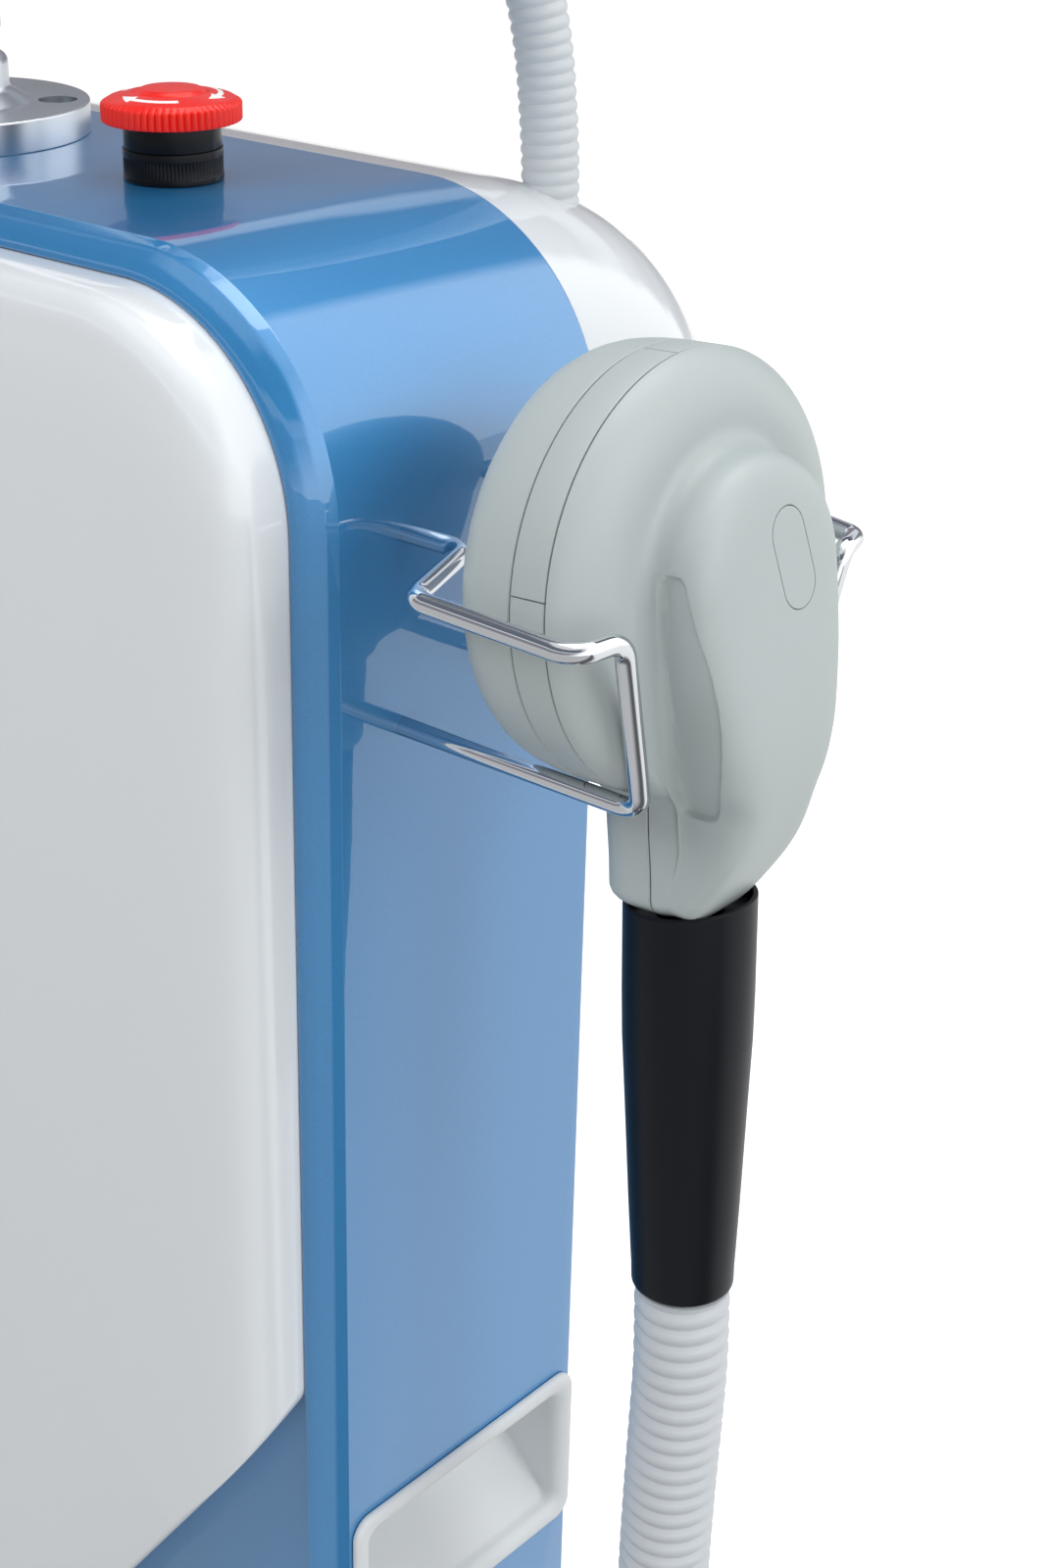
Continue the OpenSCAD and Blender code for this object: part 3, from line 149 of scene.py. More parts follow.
def finish(name, rgb, roughness, metallic=0.0, coat=0.0, coat_roughness=0.04,
           grain_mm=0.6, relief_mm=0.01, uneven=0.05, mottle_mm=40.0, ior=1.5):
    """Principled finish of a 0-255 sRGB colour: one mottling multiplies the colour by
    1 +- uneven and roughness by 1 +- 0.12, and a finer grain gives the relief."""
    colour = srgb(*rgb)
    material = bpy.data.materials.new(name)
    material.use_nodes = True
    tree = material.node_tree
    spots = add_node(tree, "TexCoord")["Object"]
    spread = add_node(tree, "Group", node_tree=variation, Vector=spots,
                      Grain_Scale=1000 / grain_mm, Mottle_Scale=1000 / mottle_mm)
    shades = [[min(1.0, v * share) for v in colour] + [1.0] for share in (1 - uneven, 1 + uneven)]
    tint = mixed(tree, spread["Mottle"], *shades)
    polish = add_node(tree, "MapRange", Value=spread["Mottle"], To_Min=roughness * 0.88,
                      To_Max=min(1.0, roughness * 1.12))
    relief = add_node(tree, "Bump", Height=spread["Grain"], Strength=0.5, Distance=relief_mm / 1000)
    for socket, value in (("Metallic", metallic), ("IOR", ior), ("Coat Weight", coat),
                          ("Coat Roughness", coat_roughness), ("Base Color", tint),
                          ("Roughness", polish["Result"]), ("Normal", relief["Normal"])):
        feed(tree, tree.nodes["Principled BSDF"].inputs[socket], value)
    material.diffuse_color = colour + [1.0]
    return material


# --- Hoses ------------------------------------------------------------
# Two corrugated plastic hoses: the applicator's thick one hangs from the handle, turns
# round in a loop above the base and ends in the hood; the screen's thin one leaves the
# hood's top. Extruded soft vinyl with moulded ribs.


def smooth_but_creased(mesh):
    """Shades a mesh smooth, with creases where its faces meet at more than 35 degrees."""
    mesh.polygons.foreach_set("use_smooth", np.ones(len(mesh.polygons), bool))
    mesh.set_sharp_from_angle(angle=math.radians(35))


def grid_object(name, rings, loop=False, start_pole=True, end_pole=True):
    """Object over rings of points in millimetres: neighbours joined as quads, the last ring
    joined to the first if loop, and otherwise the first and last rings closed to their mean
    points, unless a pole is left off. Doubles are merged, and faces turned outwards."""
    rows, columns = np.shape(rings)[:2]
    points = np.reshape(rings, (-1, 3))
    row = np.arange(rows if loop else rows - 1)[:, None]
    column = np.arange(columns)[None, :]
    a = row * columns + column
    b = row * columns + (column + 1) % columns
    c = ((row + 1) % rows) * columns + (column + 1) % columns
    d = ((row + 1) % rows) * columns + column
    faces = np.stack([a, b, c, d], -1).reshape(-1, 4).tolist()
    for wanted, first in ((start_pole, 0), (end_pole, (rows - 1) * columns)):
        if wanted and not loop:
            middle = len(points)
            points = np.vstack([points, points[first:first + columns].mean(0)])
            step = np.arange(columns)
            faces += np.stack([first + step, first + (step + 1) % columns,
                               np.full(columns, middle)], -1).tolist()
    mesh = bpy.data.meshes.new(name)
    mesh.from_pydata(to_frame(points).tolist(), [], faces)
    shape = bmesh.new()
    shape.from_mesh(mesh)
    bmesh.ops.remove_doubles(shape, verts=shape.verts, dist=2e-6)
    bmesh.ops.dissolve_degenerate(shape, edges=shape.edges, dist=1e-7)
    bmesh.ops.recalc_face_normals(shape, faces=shape.faces)
    shape.to_mesh(mesh)
    shape.free()
    smooth_but_creased(mesh)
    mesh.validate()
    thing = bpy.data.objects.new(name, mesh)
    bpy.context.scene.collection.objects.link(thing)
    return thing


def belongs(thing, material, body, slot, *nodes):
    """Gives a piece its material and its body, and hides the solids it stands for; slot is not used.
    """
    thing.data.materials.clear()
    thing.data.materials.append(material)
    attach(thing, body)
    if nodes:
        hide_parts(*nodes)


def smooth_route(points, step):
    """Catmull-Rom curve through points, resampled at equal steps of about step mm."""
    p = np.asarray(points, float)
    padded = np.vstack([p[:1], p, p[-1:]])
    t = np.linspace(0, 1, 12, endpoint=False)[:, None]
    spans = [0.5 * (2 * b + (c - a) * t + (2 * a - 5 * b + 4 * c - d) * t ** 2
                    + (3 * b - a - 3 * c + d) * t ** 3)
             for a, b, c, d in zip(padded[:-3], padded[1:-2], padded[2:-1], padded[3:])]
    dense = np.vstack(spans + [p[-1:]])
    length = np.concatenate([[0], np.cumsum(np.linalg.norm(np.diff(dense, axis=0), axis=1))])
    places = np.linspace(0, length[-1], int(round(length[-1] / step)) + 1)
    return np.stack([np.interp(places, length, dense[:, k]) for k in range(3)], -1), places


def tube_grid(route, radius, across, sides):
    """Rings round a route: point + radius * (cos u + sin v), u the part of across that is square
    to the route's heading and v their cross product. radius is one value a row, or one for all."""
    heading = np.gradient(route, axis=0)
    heading /= np.linalg.norm(heading, axis=1)[:, None]
    u = np.asarray(across, float) - heading * (heading @ np.asarray(across, float))[:, None]
    u /= np.linalg.norm(u, axis=1)[:, None]
    v = np.cross(heading, u)
    angle = np.linspace(0, 2 * np.pi, sides, endpoint=False)
    reach = np.broadcast_to(radius, len(route))[:, None, None]
    return route[:, None, :] + reach * (u[:, None, :] * np.cos(angle)[None, :, None]
                                        + v[:, None, :] * np.sin(angle)[None, :, None])


LEAN = math.radians(3.5)
SEAM_FOOT = np.array([274.1, 0.0, -74.0])


def applicator_point(p, q, r):
    """Applicator's own places, p outwards, q rearwards, r up, leaned about Y, from the deck."""
    return places(SEAM_FOOT[0] + p * math.cos(LEAN) - r * math.sin(LEAN), q,
                  SEAM_FOOT[2] + p * math.sin(LEAN) + r * math.cos(LEAN))


HANDLE_TOP = (11.2, -92.0)
HANDLE_BACK = math.radians(1.4)
HANDLE_L = 120.0


def sleeve_point(x, y, z):
    """Handle sleeve's own places, z from its top, turned back by HANDLE_BACK, from the deck."""
    cos, sin = math.cos(HANDLE_BACK), math.sin(HANDLE_BACK)
    p, r = HANDLE_TOP
    return applicator_point(p + x * cos + z * sin, y, r - x * sin + z * cos)


HOSE_D = 27.4
hose_top = sleeve_point(0.0, 0.0, -HANDLE_L - 0.3)
HOSE_ROUTE = [
    hose_top, [296.2, 0, -312], [295.7, 0, -335], [294.9, 0, -362], [294.6, 0, -396],
    [296.5, 0.4, -440], [302, 1.4, -490], [311, 3.2, -538], [324.5, 7, -586],
    [341, 11, -632], [354, 16, -675], [358, 19, -716], [354, 20.5, -746],
    [344, 24, -773], [328, 30, -796], [308, 37.5, -812],
    [284, 46.5, -822], [259, 56, -825], [233, 66, -821], [209, 74.5, -811],
    [189, 82, -795], [173, 87.5, -773], [164, 91, -747], [160, 92, -716],
    [160, 92, -660], [160, 92, -590], [160, 92, -520], [160, 92, -450], [160, 92, -380],
    [160, 92, -310], [160, 92, -250], [160, 92, -219],
]
SOCKET_TURN = math.atan2(92, 163)
CONDUIT_D = 17.3
CONDUIT_ROUTE = [
    [163, 92, -20], [163, 92, -4], [162, 91.5, 14], [160, 90.5, 34], [156, 88, 56],
    [150, 84.5, 78], [141, 79.5, 99], [129, 73, 117], [114, 64.5, 132], [97, 55, 143],
    [78, 44, 150], [59, 33.3, 152.5], [46, 26, 152.2],
    [38.2 * math.cos(SOCKET_TURN), 38.2 * math.sin(SOCKET_TURN), 152],
]


def ribbed_hose(name, node, vinyl, route, diameter, pitch, depth, across, sides):
    """Tube whose radius is d/2 - depth * sin(pi s / pitch)^4: round ribs, narrow grooves, with its
    two ends at the grooves' radius."""
    centre, along = smooth_route(route, pitch / 8)
    radius = diameter / 2 - depth * np.abs(np.sin(np.pi * along / pitch)) ** 4
    radius[[0, -1]] = diameter / 2 - depth
    hose = grid_object(name, tube_grid(centre, radius, across, sides))
    hose.data.materials.append(vinyl)
    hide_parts(node)
    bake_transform(hose)


hose_vinyl = finish("hose_vinyl", (198, 203, 208), 0.38, coat=0.25, coat_roughness=0.2,
                    grain_mm=0.8, relief_mm=0.01, uneven=0.02, mottle_mm=25)
ribbed_hose("ribbed_applicator_hose", "applicator_hose", hose_vinyl, HOSE_ROUTE, HOSE_D, pitch=5.5,
            depth=1.1, across=[0.3, 0.9, 0.1], sides=40)
conduit_vinyl = finish("conduit_vinyl", (202, 208, 212), 0.42, coat=0.15, coat_roughness=0.25,
                       grain_mm=0.8, relief_mm=0.01, uneven=0.03, mottle_mm=25)
ribbed_hose("ribbed_screen_conduit", "screen_conduit", conduit_vinyl, CONDUIT_ROUTE, CONDUIT_D,
            pitch=3.9, depth=0.6, across=[-0.49, 0.87, 0.0], sides=32)

# --- Arch -------------------------------------------------------------
# The cabinet's sides and top in one: a 4 mm band bent over two shoulders, with a narrow
# convex lip at the front. Sprayed metallic blue under clear lacquer.
ARCH_HALF_WIDTH = 215.0
SHOULDER_R = 67.0
ARCH_FOOT = (arch_low_corner[2] - DECK_MIDDLE[2]) * 1000
GRIP_TOP, GRIP_BOTTOM, GRIP_HALF_WIDTH = -392.5, -441.5, 47.5


def rounded_path(corners, radii, steps=6, closed=False):
    """Polyline with each corner turned into an arc: tangent points lie r tan(turn / 2) from the
    corner, and the arc is swept between them. Every arc has steps + 1 points."""
    c = np.asarray(corners, float)
    n = len(c)
    out = []
    for i in range(n):
        before, here, after = c[i - 1], c[i], c[(i + 1) % n]
        if not closed and i in (0, n - 1):
            out.append(here[None, :])
            continue
        u = (before - here) / np.linalg.norm(before - here)
        w = (after - here) / np.linalg.norm(after - here)
        half = math.acos(max(-1.0, min(1.0, float(u @ w)))) / 2
        r = max(radii[i], 1e-3)
        if half > math.radians(89.5):
            out.append(np.repeat(here[None, :], steps + 1, 0))
            continue
        middle = (u + w) / np.linalg.norm(u + w)
        centre = here + middle * r / math.sin(half)
        a = here + u * r / math.tan(half) - centre
        b = here + w * r / math.tan(half) - centre
        turn = math.pi - 2 * half
        share = np.linspace(0, 1, steps + 1)[:, None]
        out.append(centre + (a * np.sin((1 - share) * turn)
                             + b * np.sin(share * turn)) / math.sin(turn))
    return np.vstack(out)


def arch_rows():
    """Points and outward directions of an upside-down U in X and Z, from the right foot to the
    left one: a leg with stops at the grip, then R (cos t, sin t) round the shoulder's middle."""
    legs = [ARCH_FOOT, GRIP_BOTTOM, GRIP_TOP, -SHOULDER_R]
    turn = np.concatenate([np.zeros(len(legs)), np.linspace(0, np.pi / 2, 41)[1:]])
    x = ARCH_HALF_WIDTH - SHOULDER_R + SHOULDER_R * np.cos(turn)
    z = SHOULDER_R * np.sin(turn) - SHOULDER_R
    z[:len(legs)] = legs
    right = np.stack([x, z, np.cos(turn), np.sin(turn)], -1)
    return np.vstack([right, right[::-1] * [-1, 1, -1, 1]])


def sweep_over_arch(name, section, rows):
    """Closed section of (inward, depth) points carried over rows: base - inward * outward."""
    inward, depth = section.T
    x, z, outward_x, outward_z = rows.T[:, :, None]
    return grid_object(name, places(x - inward * outward_x, depth, z - inward * outward_z))


def flake_paint(name, rgb):
    """Metallic lacquer: flakes are tiny cells whose brightness varies, under a clear coat whose
    surface has the faint ripple of sprayed lacquer."""
    material = finish(name, rgb, 0.36, metallic=0.3, coat=1.0, coat_roughness=0.015,
                      grain_mm=0.5, relief_mm=0.004, uneven=0.03, mottle_mm=150)
    tree = material.node_tree
    shader = tree.nodes["Principled BSDF"].inputs
    spots = tree.nodes["Texture Coordinate"].outputs["Object"]
    ripple = add_node(tree, "TexNoise", Vector=spots, Scale=1000 / 7.0)
    peel = add_node(tree, "Bump", Height=ripple["Fac"], Strength=0.35, Distance=0.00003)
    flakes = add_node(tree, "TexVoronoi", Vector=spots, Scale=1000 / 0.45)
    spread = add_node(tree, "MapRange", Value=flakes["Color"], To_Min=0.95, To_Max=1.06)
    glitter = add_node(tree, "VectorMath", shader["Base Color"].links[0].from_socket,
                       operation="SCALE", Scale=spread["Result"])
    for socket, value in (("Coat IOR", 1.85), ("Coat Normal", peel["Normal"]),
                          ("Base Color", glitter["Vector"])):
        feed(tree, shader[socket], value)
    return material


arch_paint = flake_paint("blue_metallic_lacquer", (44, 133, 194))
arch_section = rounded_path(
    [[0, -54.2], [0, 54], [4, 54], [4, -51], [8.8, -57.5], [8.8, -63.9], [6.9, -63.5], [4.2, -61.3],
     [1.5, -57.9]],
    [0.9, 1.6, 0.3, 0.3, 0.3, 0.5, 5, 9, 6], steps=5, closed=True)
arch = sweep_over_arch("arch_band", arch_section, arch_rows())


def cut(thing, cutter, operation="DIFFERENCE"):
    """Boolean of thing with cutter, kept as a plain mesh; the cutter is taken away."""
    modifier = thing.modifiers.new("cut", "BOOLEAN")
    modifier.object = cutter
    modifier.operation = operation
    modifier.solver = "EXACT"
    settled = bpy.data.meshes.new_from_object(
        thing.evaluated_get(bpy.context.evaluated_depsgraph_get()))
    thing.modifiers.clear()
    old, thing.data = thing.data, settled
    bpy.data.meshes.remove(old)
    bpy.data.objects.remove(cutter)
    smooth_but_creased(settled)


def block(name, low, high):
    """Closed box between two corners, for cutting."""
    x, y, z = np.stack([low, high], -1)
    return grid_object(name, places(x[[0, 1, 1, 0]], y[[0, 0, 1, 1]], z[:, None]))


for side in (-1, 1):
    xs = sorted([side * 200.0, side * 230.0])
    cut(arch, block("grip_window", [xs[0], -GRIP_HALF_WIDTH, GRIP_BOTTOM],
                    [xs[1], GRIP_HALF_WIDTH, GRIP_TOP]))
belongs(arch, arch_paint, "cabinet", "blue_paint", "arch_shell")

# --- Front panel ------------------------------------------------------
# Flat blue sheet that closes the arch's front behind the lip; it shows under the
# white cover. Same lacquer as the arch.
PANEL_BACK, PANEL_FRONT = -54.2, -57.0


def convex_ring(corners, radii, inset=0.0, steps=8):
    """Ring of a convex outline drawn in by inset: corner + inset (n1 + n2) / (1 + n1.n2), with
    its radii shortened by the same inset. Corners run anticlockwise."""
    c = np.asarray(corners, float)
    edge = np.roll(c, -1, 0) - c
    edge /= np.linalg.norm(edge, axis=1)[:, None]
    normal = np.stack([-edge[:, 1], edge[:, 0]], -1)
    last = np.roll(normal, 1, 0)
    drawn = c + inset * (last + normal) / (1 + (last * normal).sum(1))[:, None]
    return rounded_path(drawn, np.maximum(np.array(radii) - inset, 0.4), steps, closed=True)


def upright_ring(ring, depth):
    """Ring in X and Z placed at a depth Y."""
    return places(ring[:, 0], depth, ring[:, 1])


panel_corners = [[208, ARCH_FOOT + 1], [208, -7.5], [-208, -7.5], [-208, ARCH_FOOT + 1]]
panel_rings = [upright_ring(convex_ring(panel_corners, [1, 60, 60, 1], inset, 16), depth)
               for inset, depth in ((0, PANEL_BACK), (0, PANEL_FRONT + 0.4), (0.4, PANEL_FRONT))]
front_panel = grid_object("front_panel_sheet", panel_rings)
belongs(front_panel, arch_paint, "cabinet", "blue_panel", "lower_front_panel")

# --- Front cover ------------------------------------------------------
# Shield-shaped white cover, vacuum-formed acrylic with a high gloss: rolled over at its sides
# and top, cut straight along the sloping lower edges, which run to a rounded tip.
COVER_HALF_WIDTH, COVER_TOP, COVER_CORNER = 206.0, -9.0, -334.0
COVER_BACK, COVER_FACE = -58.0, -84.0


def cover_ring(inset, cut_inset, depth):
    """Ring of the cover: sides and top drawn in by inset, slopes by cut_inset. From the wall to
    the face its corner sinks by 11 mm and its slope eases from 1.412 to 1.362."""
    forward = min(1.0, max(0.0, (COVER_BACK - depth) / (COVER_BACK - COVER_FACE)))
    steep = 1.412 - 0.05 * forward
    half_width = COVER_HALF_WIDTH - inset
    corner = COVER_CORNER - 11.0 * forward - inset * steep + cut_inset * math.hypot(1, steep)
    top = COVER_TOP - inset
    corners = [[half_width, corner], [half_width, top], [-half_width, top], [-half_width, corner],
               [0, corner - half_width * steep]]
    shoulder = max(58.0 - inset, 20.0)
    return upright_ring(convex_ring(corners, [12, shoulder, shoulder, 12, 50], 0, 20), depth)


COVER_ROLL = [(0.9, 0.9, -57.2), (0, 0, -58), (0, 0, -64), (0, 0, -70), (0.15, 0, -72.6),
              (0.6, 0, -75), (1.4, 0, -77.2), (2.6, 0, -79.1), (4.2, 0, -80.7), (6.4, 0, -82),
              (9.4, 0, -83), (13.5, 0.05, -83.9), (19, 0.3, -84.6), (27, 0.9, -85.1),
              (36, 2.0, -85.4)]
COVER_CROWN = 0.5  # how far the middle of the face stands proud of COVER_ROLL's last ring
cover_rings = [cover_ring(*row) for row in COVER_ROLL]
inner_ring = cover_rings[-1]
cover_heart = np.array([0.0, 0.0, -250.0])
for share in (0.15, 0.35, 0.6, 0.85):
    drawn = inner_ring + (cover_heart - inner_ring) * share
    drawn[:, 1] = COVER_ROLL[-1][2] - COVER_CROWN * (1 - (1 - share) ** 2)
    cover_rings.append(drawn)
front_cover = grid_object("shield_cover", cover_rings)
white_acrylic = finish("white_gloss_acrylic", (222, 227, 231), 0.2, coat=1.0,
                       coat_roughness=0.015, grain_mm=2.0, relief_mm=0.002, uneven=0.012,
                       mottle_mm=220)
belongs(front_cover, white_acrylic, "cabinet", "white_gloss", "front_cover")

# --- Rear hood --------------------------------------------------------
# White gloss hood behind the arch, formed in one piece: it follows the arch's shoulders and
# rolls over to a flat back. Both hoses pass through it.
HOOD_BACK, HOOD_FOOT = 125.0, -165.0
HOOD_SLICES = np.array([  # depth, side inset, top drop, bottom rise
    [54.0, 1.5, 1.5, 0.0], [58.0, 1.5, 1.7, 0.0], [72.0, 1.6, 3.2, 0.0], [85.0, 1.8, 5.8, 0.0],
    [95.0, 2.2, 8.8, 0.2], [103.0, 3.0, 12.0, 0.8], [110.0, 4.6, 15.8, 2.2],
    [115.5, 7.2, 20.0, 5.0], [120.0, 11.5, 26.0, 9.5], [123.4, 18.0, 34.0, 16.0],
    [124.7, 25.0, 42.0, 23.0], [HOOD_BACK, 34.0, 52.0, 32.0],
])


def hood_ring(depth, side, drop, rise):
    """Ring of the hood: the arch's outline, drawn in at the sides, top and foot."""
    half_width = ARCH_HALF_WIDTH - side
    corners = [[half_width, HOOD_FOOT + rise], [half_width, -drop],
               [-half_width, -drop], [-half_width, HOOD_FOOT + rise]]
    foot_r = 3 + rise * 0.6
    shoulder = max(SHOULDER_R - 0.6 * side - 0.2 * drop, 20)
    return upright_ring(convex_ring(corners, [foot_r, shoulder, shoulder, foot_r], 0, 20), depth)


position = np.linspace(0, 1, len(HOOD_SLICES))
hood_rings = [hood_ring(*[np.interp(share, position, HOOD_SLICES[:, k]) for k in range(4)])
              for share in np.linspace(0, 1, 34)]
last = hood_rings[-1]
hood_rings += [last + (last.mean(0) - last) * share for share in (0.3, 0.6, 0.9)]
rear_hood = grid_object("rear_hood_shell", hood_rings)
belongs(rear_hood, white_acrylic, "cabinet", "white_gloss", "rear_hood")

# --- Grips ------------------------------------------------------------
# A recessed grip in each side: a white moulded frame that stands 2.7 mm out of the arch and
# a pocket whose floor slopes up to the back. Injection-moulded with a fine matt texture.
GRIP_MIDDLE = -417.0
GRIP_WALL = 1.8
POCKET_MOUTH, POCKET_FLOOR = 213.0, 187.0


def rectangle(width, height):
    """Corners of a rectangle round the middle, anticlockwise from its lower right."""
    return np.array([[width, -height], [width, height], [-width, height], [-width, -height]]) / 2


def grip_rings(side):
    """Rings of (width, height, radius, outward place) from the wall over the frame's rounded rim,
    then down the pocket: a share of its depth draws the floor up and the walls in."""
    rim = [
        (105.2, 59.2, 6.6, 215.0), (106.0, 60.0, 7.0, 215.4), (106.0, 60.0, 7.0, 216.1),
        (105.6, 59.6, 6.8, 216.8), (104.6, 58.6, 6.4, 217.3), (102.8, 56.8, 6.0, 217.6),
        (100.4, 54.4, 5.6, 217.7), (97.6, 51.6, 5.2, 217.5), (95.0, 49.0, 5.0, 216.9),
        (93.0, 47.0, 4.8, 215.9), (91.8, 45.8, 4.6, 214.6), (91.2, 45.2, 4.4, POCKET_MOUTH),
    ]
    rings = [(convex_ring(rectangle(width, height), [radius] * 4), outward)
             for width, height, radius, outward in rim]
    for share in (0.03, 0.12, 0.3, 0.5, 0.7, 0.85, 0.94, 0.98):
        half, low, high = 45.6 - 1.6 * share, -22.6 + 28.6 * share, 22.6 - 1.0 * share
        corners = [[half, low], [half, high], [-half, high], [-half, low]]
        edge_r = 4.4 - 3.4 * min(1.0, share / 0.12)
        rings.append((convex_ring(corners, [edge_r, 3.0, 3.0, edge_r]),
                      POCKET_MOUTH + (POCKET_FLOOR - POCKET_MOUTH) * share))
    rings.append((rings[-1][0] * [0.97, 1.0], POCKET_FLOOR + 0.2))
    return [places(side * outward, ring[:, 0], GRIP_MIDDLE + ring[:, 1]) for ring, outward in rings]


grip_plastic = finish("grip_white_plastic", (218, 222, 224), 0.42, coat=0.1, coat_roughness=0.3,
                      grain_mm=0.7, relief_mm=0.02, uneven=0.015, mottle_mm=60)
for node, side in (("right_grip", 1), ("left_grip", -1)):
    grip = grid_object(f"{node}_recess", grip_rings(side), start_pole=False)
    wall = grip.modifiers.new("wall", "SOLIDIFY")
    wall.thickness = GRIP_WALL / 1000
    wall.offset = -1
    belongs(grip, grip_plastic, "cabinet", "grip_white", node)

# --- Emergency stop ---------------------------------------------------
# Red mushroom head with a fluted rim, on a black body held by a knurled ring nut. Moulded
# glass-filled plastic; three white arrows on the head show which way it turns to release.
STOP_X, STOP_Y = 100.0, 0.0


def turned(name, profile, columns, centre, ripple=0.0, count=0, weights=None, bored=False):
    """Profile of (radius, height) turned about Z: radius - ripple * weight * (1 - |cos|) for count
    flutes. Its ends are closed to the axis, or joined to each other if bored."""
    radius, height = np.asarray(profile, float).T[:, :, None]
    angle = np.linspace(0, 2 * np.pi, columns, endpoint=False)
    if count:
        wave = 1 - np.abs(np.cos(count * angle / 2))
        radius = radius - ripple * weights[:, None] * wave
    return grid_object(name, places(centre[0] + radius * np.cos(angle),
                                    centre[1] + radius * np.sin(angle), centre[2] + height), bored)


head_r, head_rim = 20.0, 16.4
head_profile = rounded_path(
    [[4.2, 4.4], [14.4, 4.4], [14.4, 0.0], [head_r, 0.0], [head_r, 5.0], [17.6, 6.4], [10.9, 7.9],
     [10.4, 7.4], [9.9, 8.0], [8.4, 8.9], [0.2, 9.4]],
    [0, 0.4, 0.3, 0.6, 0.8, 1.6, 0.3, 0.2, 0.3, 2.0, 0], steps=5)
head_out, head_up = head_profile.T
fluted = np.clip(np.minimum((head_up + 0.1) / 0.3, (5.6 - head_up) / 0.5), 0, 1) * (head_out > 18.6)
stop_head = turned("stop_mushroom_head", head_profile, 360, [STOP_X, STOP_Y, head_rim],
                   0.75, 60, fluted)
stop_red = finish("stop_red_plastic", (238, 30, 14), 0.34, coat=0.12, coat_roughness=0.12,
                  grain_mm=0.6, relief_mm=0.008, uneven=0.02, mottle_mm=20)
belongs(stop_head, stop_red, "stop_cap", "red_plastic", "stop_head")


def head_height(reach):
    """Height of the head's cone at a distance from its axis, above the rim's foot."""
    return np.interp(reach, [0, 8.4, 9.9, 10.9, 17.6, 20], [9.4, 8.9, 8.0, 7.9, 6.4, 5.0])


def release_arrow(start):
    """Curved arrow 0.06 mm proud of the cone, 14 mm from its axis: a 1.5 mm band over 58
    degrees, then a head that tapers from 4.2 mm to a point."""
    turn = np.concatenate([np.linspace(0, 58, 24), [58.01], np.linspace(60, 80, 8)])
    half = np.concatenate([np.full(24, 0.75), [2.1], np.linspace(1.9, 0.05, 8)])
    angle = np.radians(start - turn)
    reach = 14.0 + np.linspace(-1, 1, 4) * half[:, None]
    top = places(STOP_X + reach * np.cos(angle)[:, None], STOP_Y + reach * np.sin(angle)[:, None],
                 head_rim + head_height(reach) + 0.06)
    below = top[:, ::-1] - [0, 0, 0.1]
    return np.concatenate([top, below], 1)


arrow_white = finish("arrow_white_print", (245, 245, 245), 0.5, grain_mm=0.5, relief_mm=0.002)
for number, start in enumerate((205, 325, 85), 1):
    arrow = grid_object(f"release_arrow_{number}", release_arrow(start))
    belongs(arrow, arrow_white, "stop_cap", "red_plastic")

body_profile = rounded_path(
    [[5.05, -42], [11, -42], [11, 9.05], [13.9, 9.05], [13.9, 15.8], [5.05, 15.8]],
    [0, 0.4, 0, 0.2, 0.6, 0], steps=4)
stop_body = turned("stop_body_barrel", body_profile, 96, [STOP_X, STOP_Y, 0], bored=True)
stop_black = finish("stop_black_plastic", (9, 10, 13), 0.3, grain_mm=0.5, relief_mm=0.004,
                    uneven=0.1, mottle_mm=10, ior=1.32)
belongs(stop_body, stop_black, "cabinet", "black_plastic", "stop_body")
collar_profile = rounded_path(
    [[11.0, 0.0], [14.35, 0.0], [14.35, 1.6], [14.2, 1.75], [14.2, 6.55], [14.3, 6.7],
     [14.3, 9.0], [11.0, 9.0]],
    [0, 0.4, 0.1, 0.1, 0.1, 0.1, 0.25, 0], steps=4)
collar_out, collar_up = collar_profile.T
knurled = (collar_up > 1.8) & (collar_up < 6.6) & (collar_out > 13)
stop_collar = turned("stop_knurled_nut", collar_profile, 480, [STOP_X, STOP_Y, 0.02], 0.45, 80,
                     knurled, bored=True)
belongs(stop_collar, stop_black, "cabinet", "black_plastic", "stop_collar")

# --- Flange and column ------------------------------------------------
# Turned aluminium foot with a conical neck, held by four screws sunk in counterbores, on
# which the arm's tube swivels. Fine-blasted and clear anodised.
flange_profile = rounded_path(
    [[0.2, 0.03], [43.3, 0.03], [43.3, 9.5], [25.5, 9.5], [19.0, 13.5], [19.0, 24.0], [10.2, 24.0],
     [10.0, 62.0], [0.2, 62.0]],
    [0, 0.3, 0.7, 2.5, 2.5, 3.2, 0, 0.8, 0], steps=6)
arm_flange = turned("arm_flange_foot", flange_profile, 144, [0, 0, 0])
FLANGE_BOLT_R = 33.5
bolt_places = [(FLANGE_BOLT_R * math.cos(a), FLANGE_BOLT_R * math.sin(a))
               for a in np.radians([45, 135, 225, 315])]
for x, y in bolt_places:
    cut(arm_flange, turned("counterbore", [[0.1, 3.2], [6.0, 3.2], [6.0, 12.0], [0.1, 12.0]], 48,
                           [x, y, 0]))
anodised = finish("anodised_aluminium", (206, 211, 217), 0.32, metallic=1.0,
                  grain_mm=0.35, relief_mm=0.012, uneven=0.03, mottle_mm=30)
belongs(arm_flange, anodised, "cabinet", "alloy", "arm_flange")
screw_steel = finish("screw_steel", (170, 172, 176), 0.25, metallic=1.0,
                     grain_mm=0.3, relief_mm=0.006, uneven=0.06, mottle_mm=6)
screw_profile = rounded_path(
    [[0.1, -9.8], [2.5, -9.8], [2.5, 3.3], [5.0, 3.3], [5.0, 6.6], [0.1, 6.6]],
    [0, 0.2, 0, 0, 0.6, 0], steps=4)
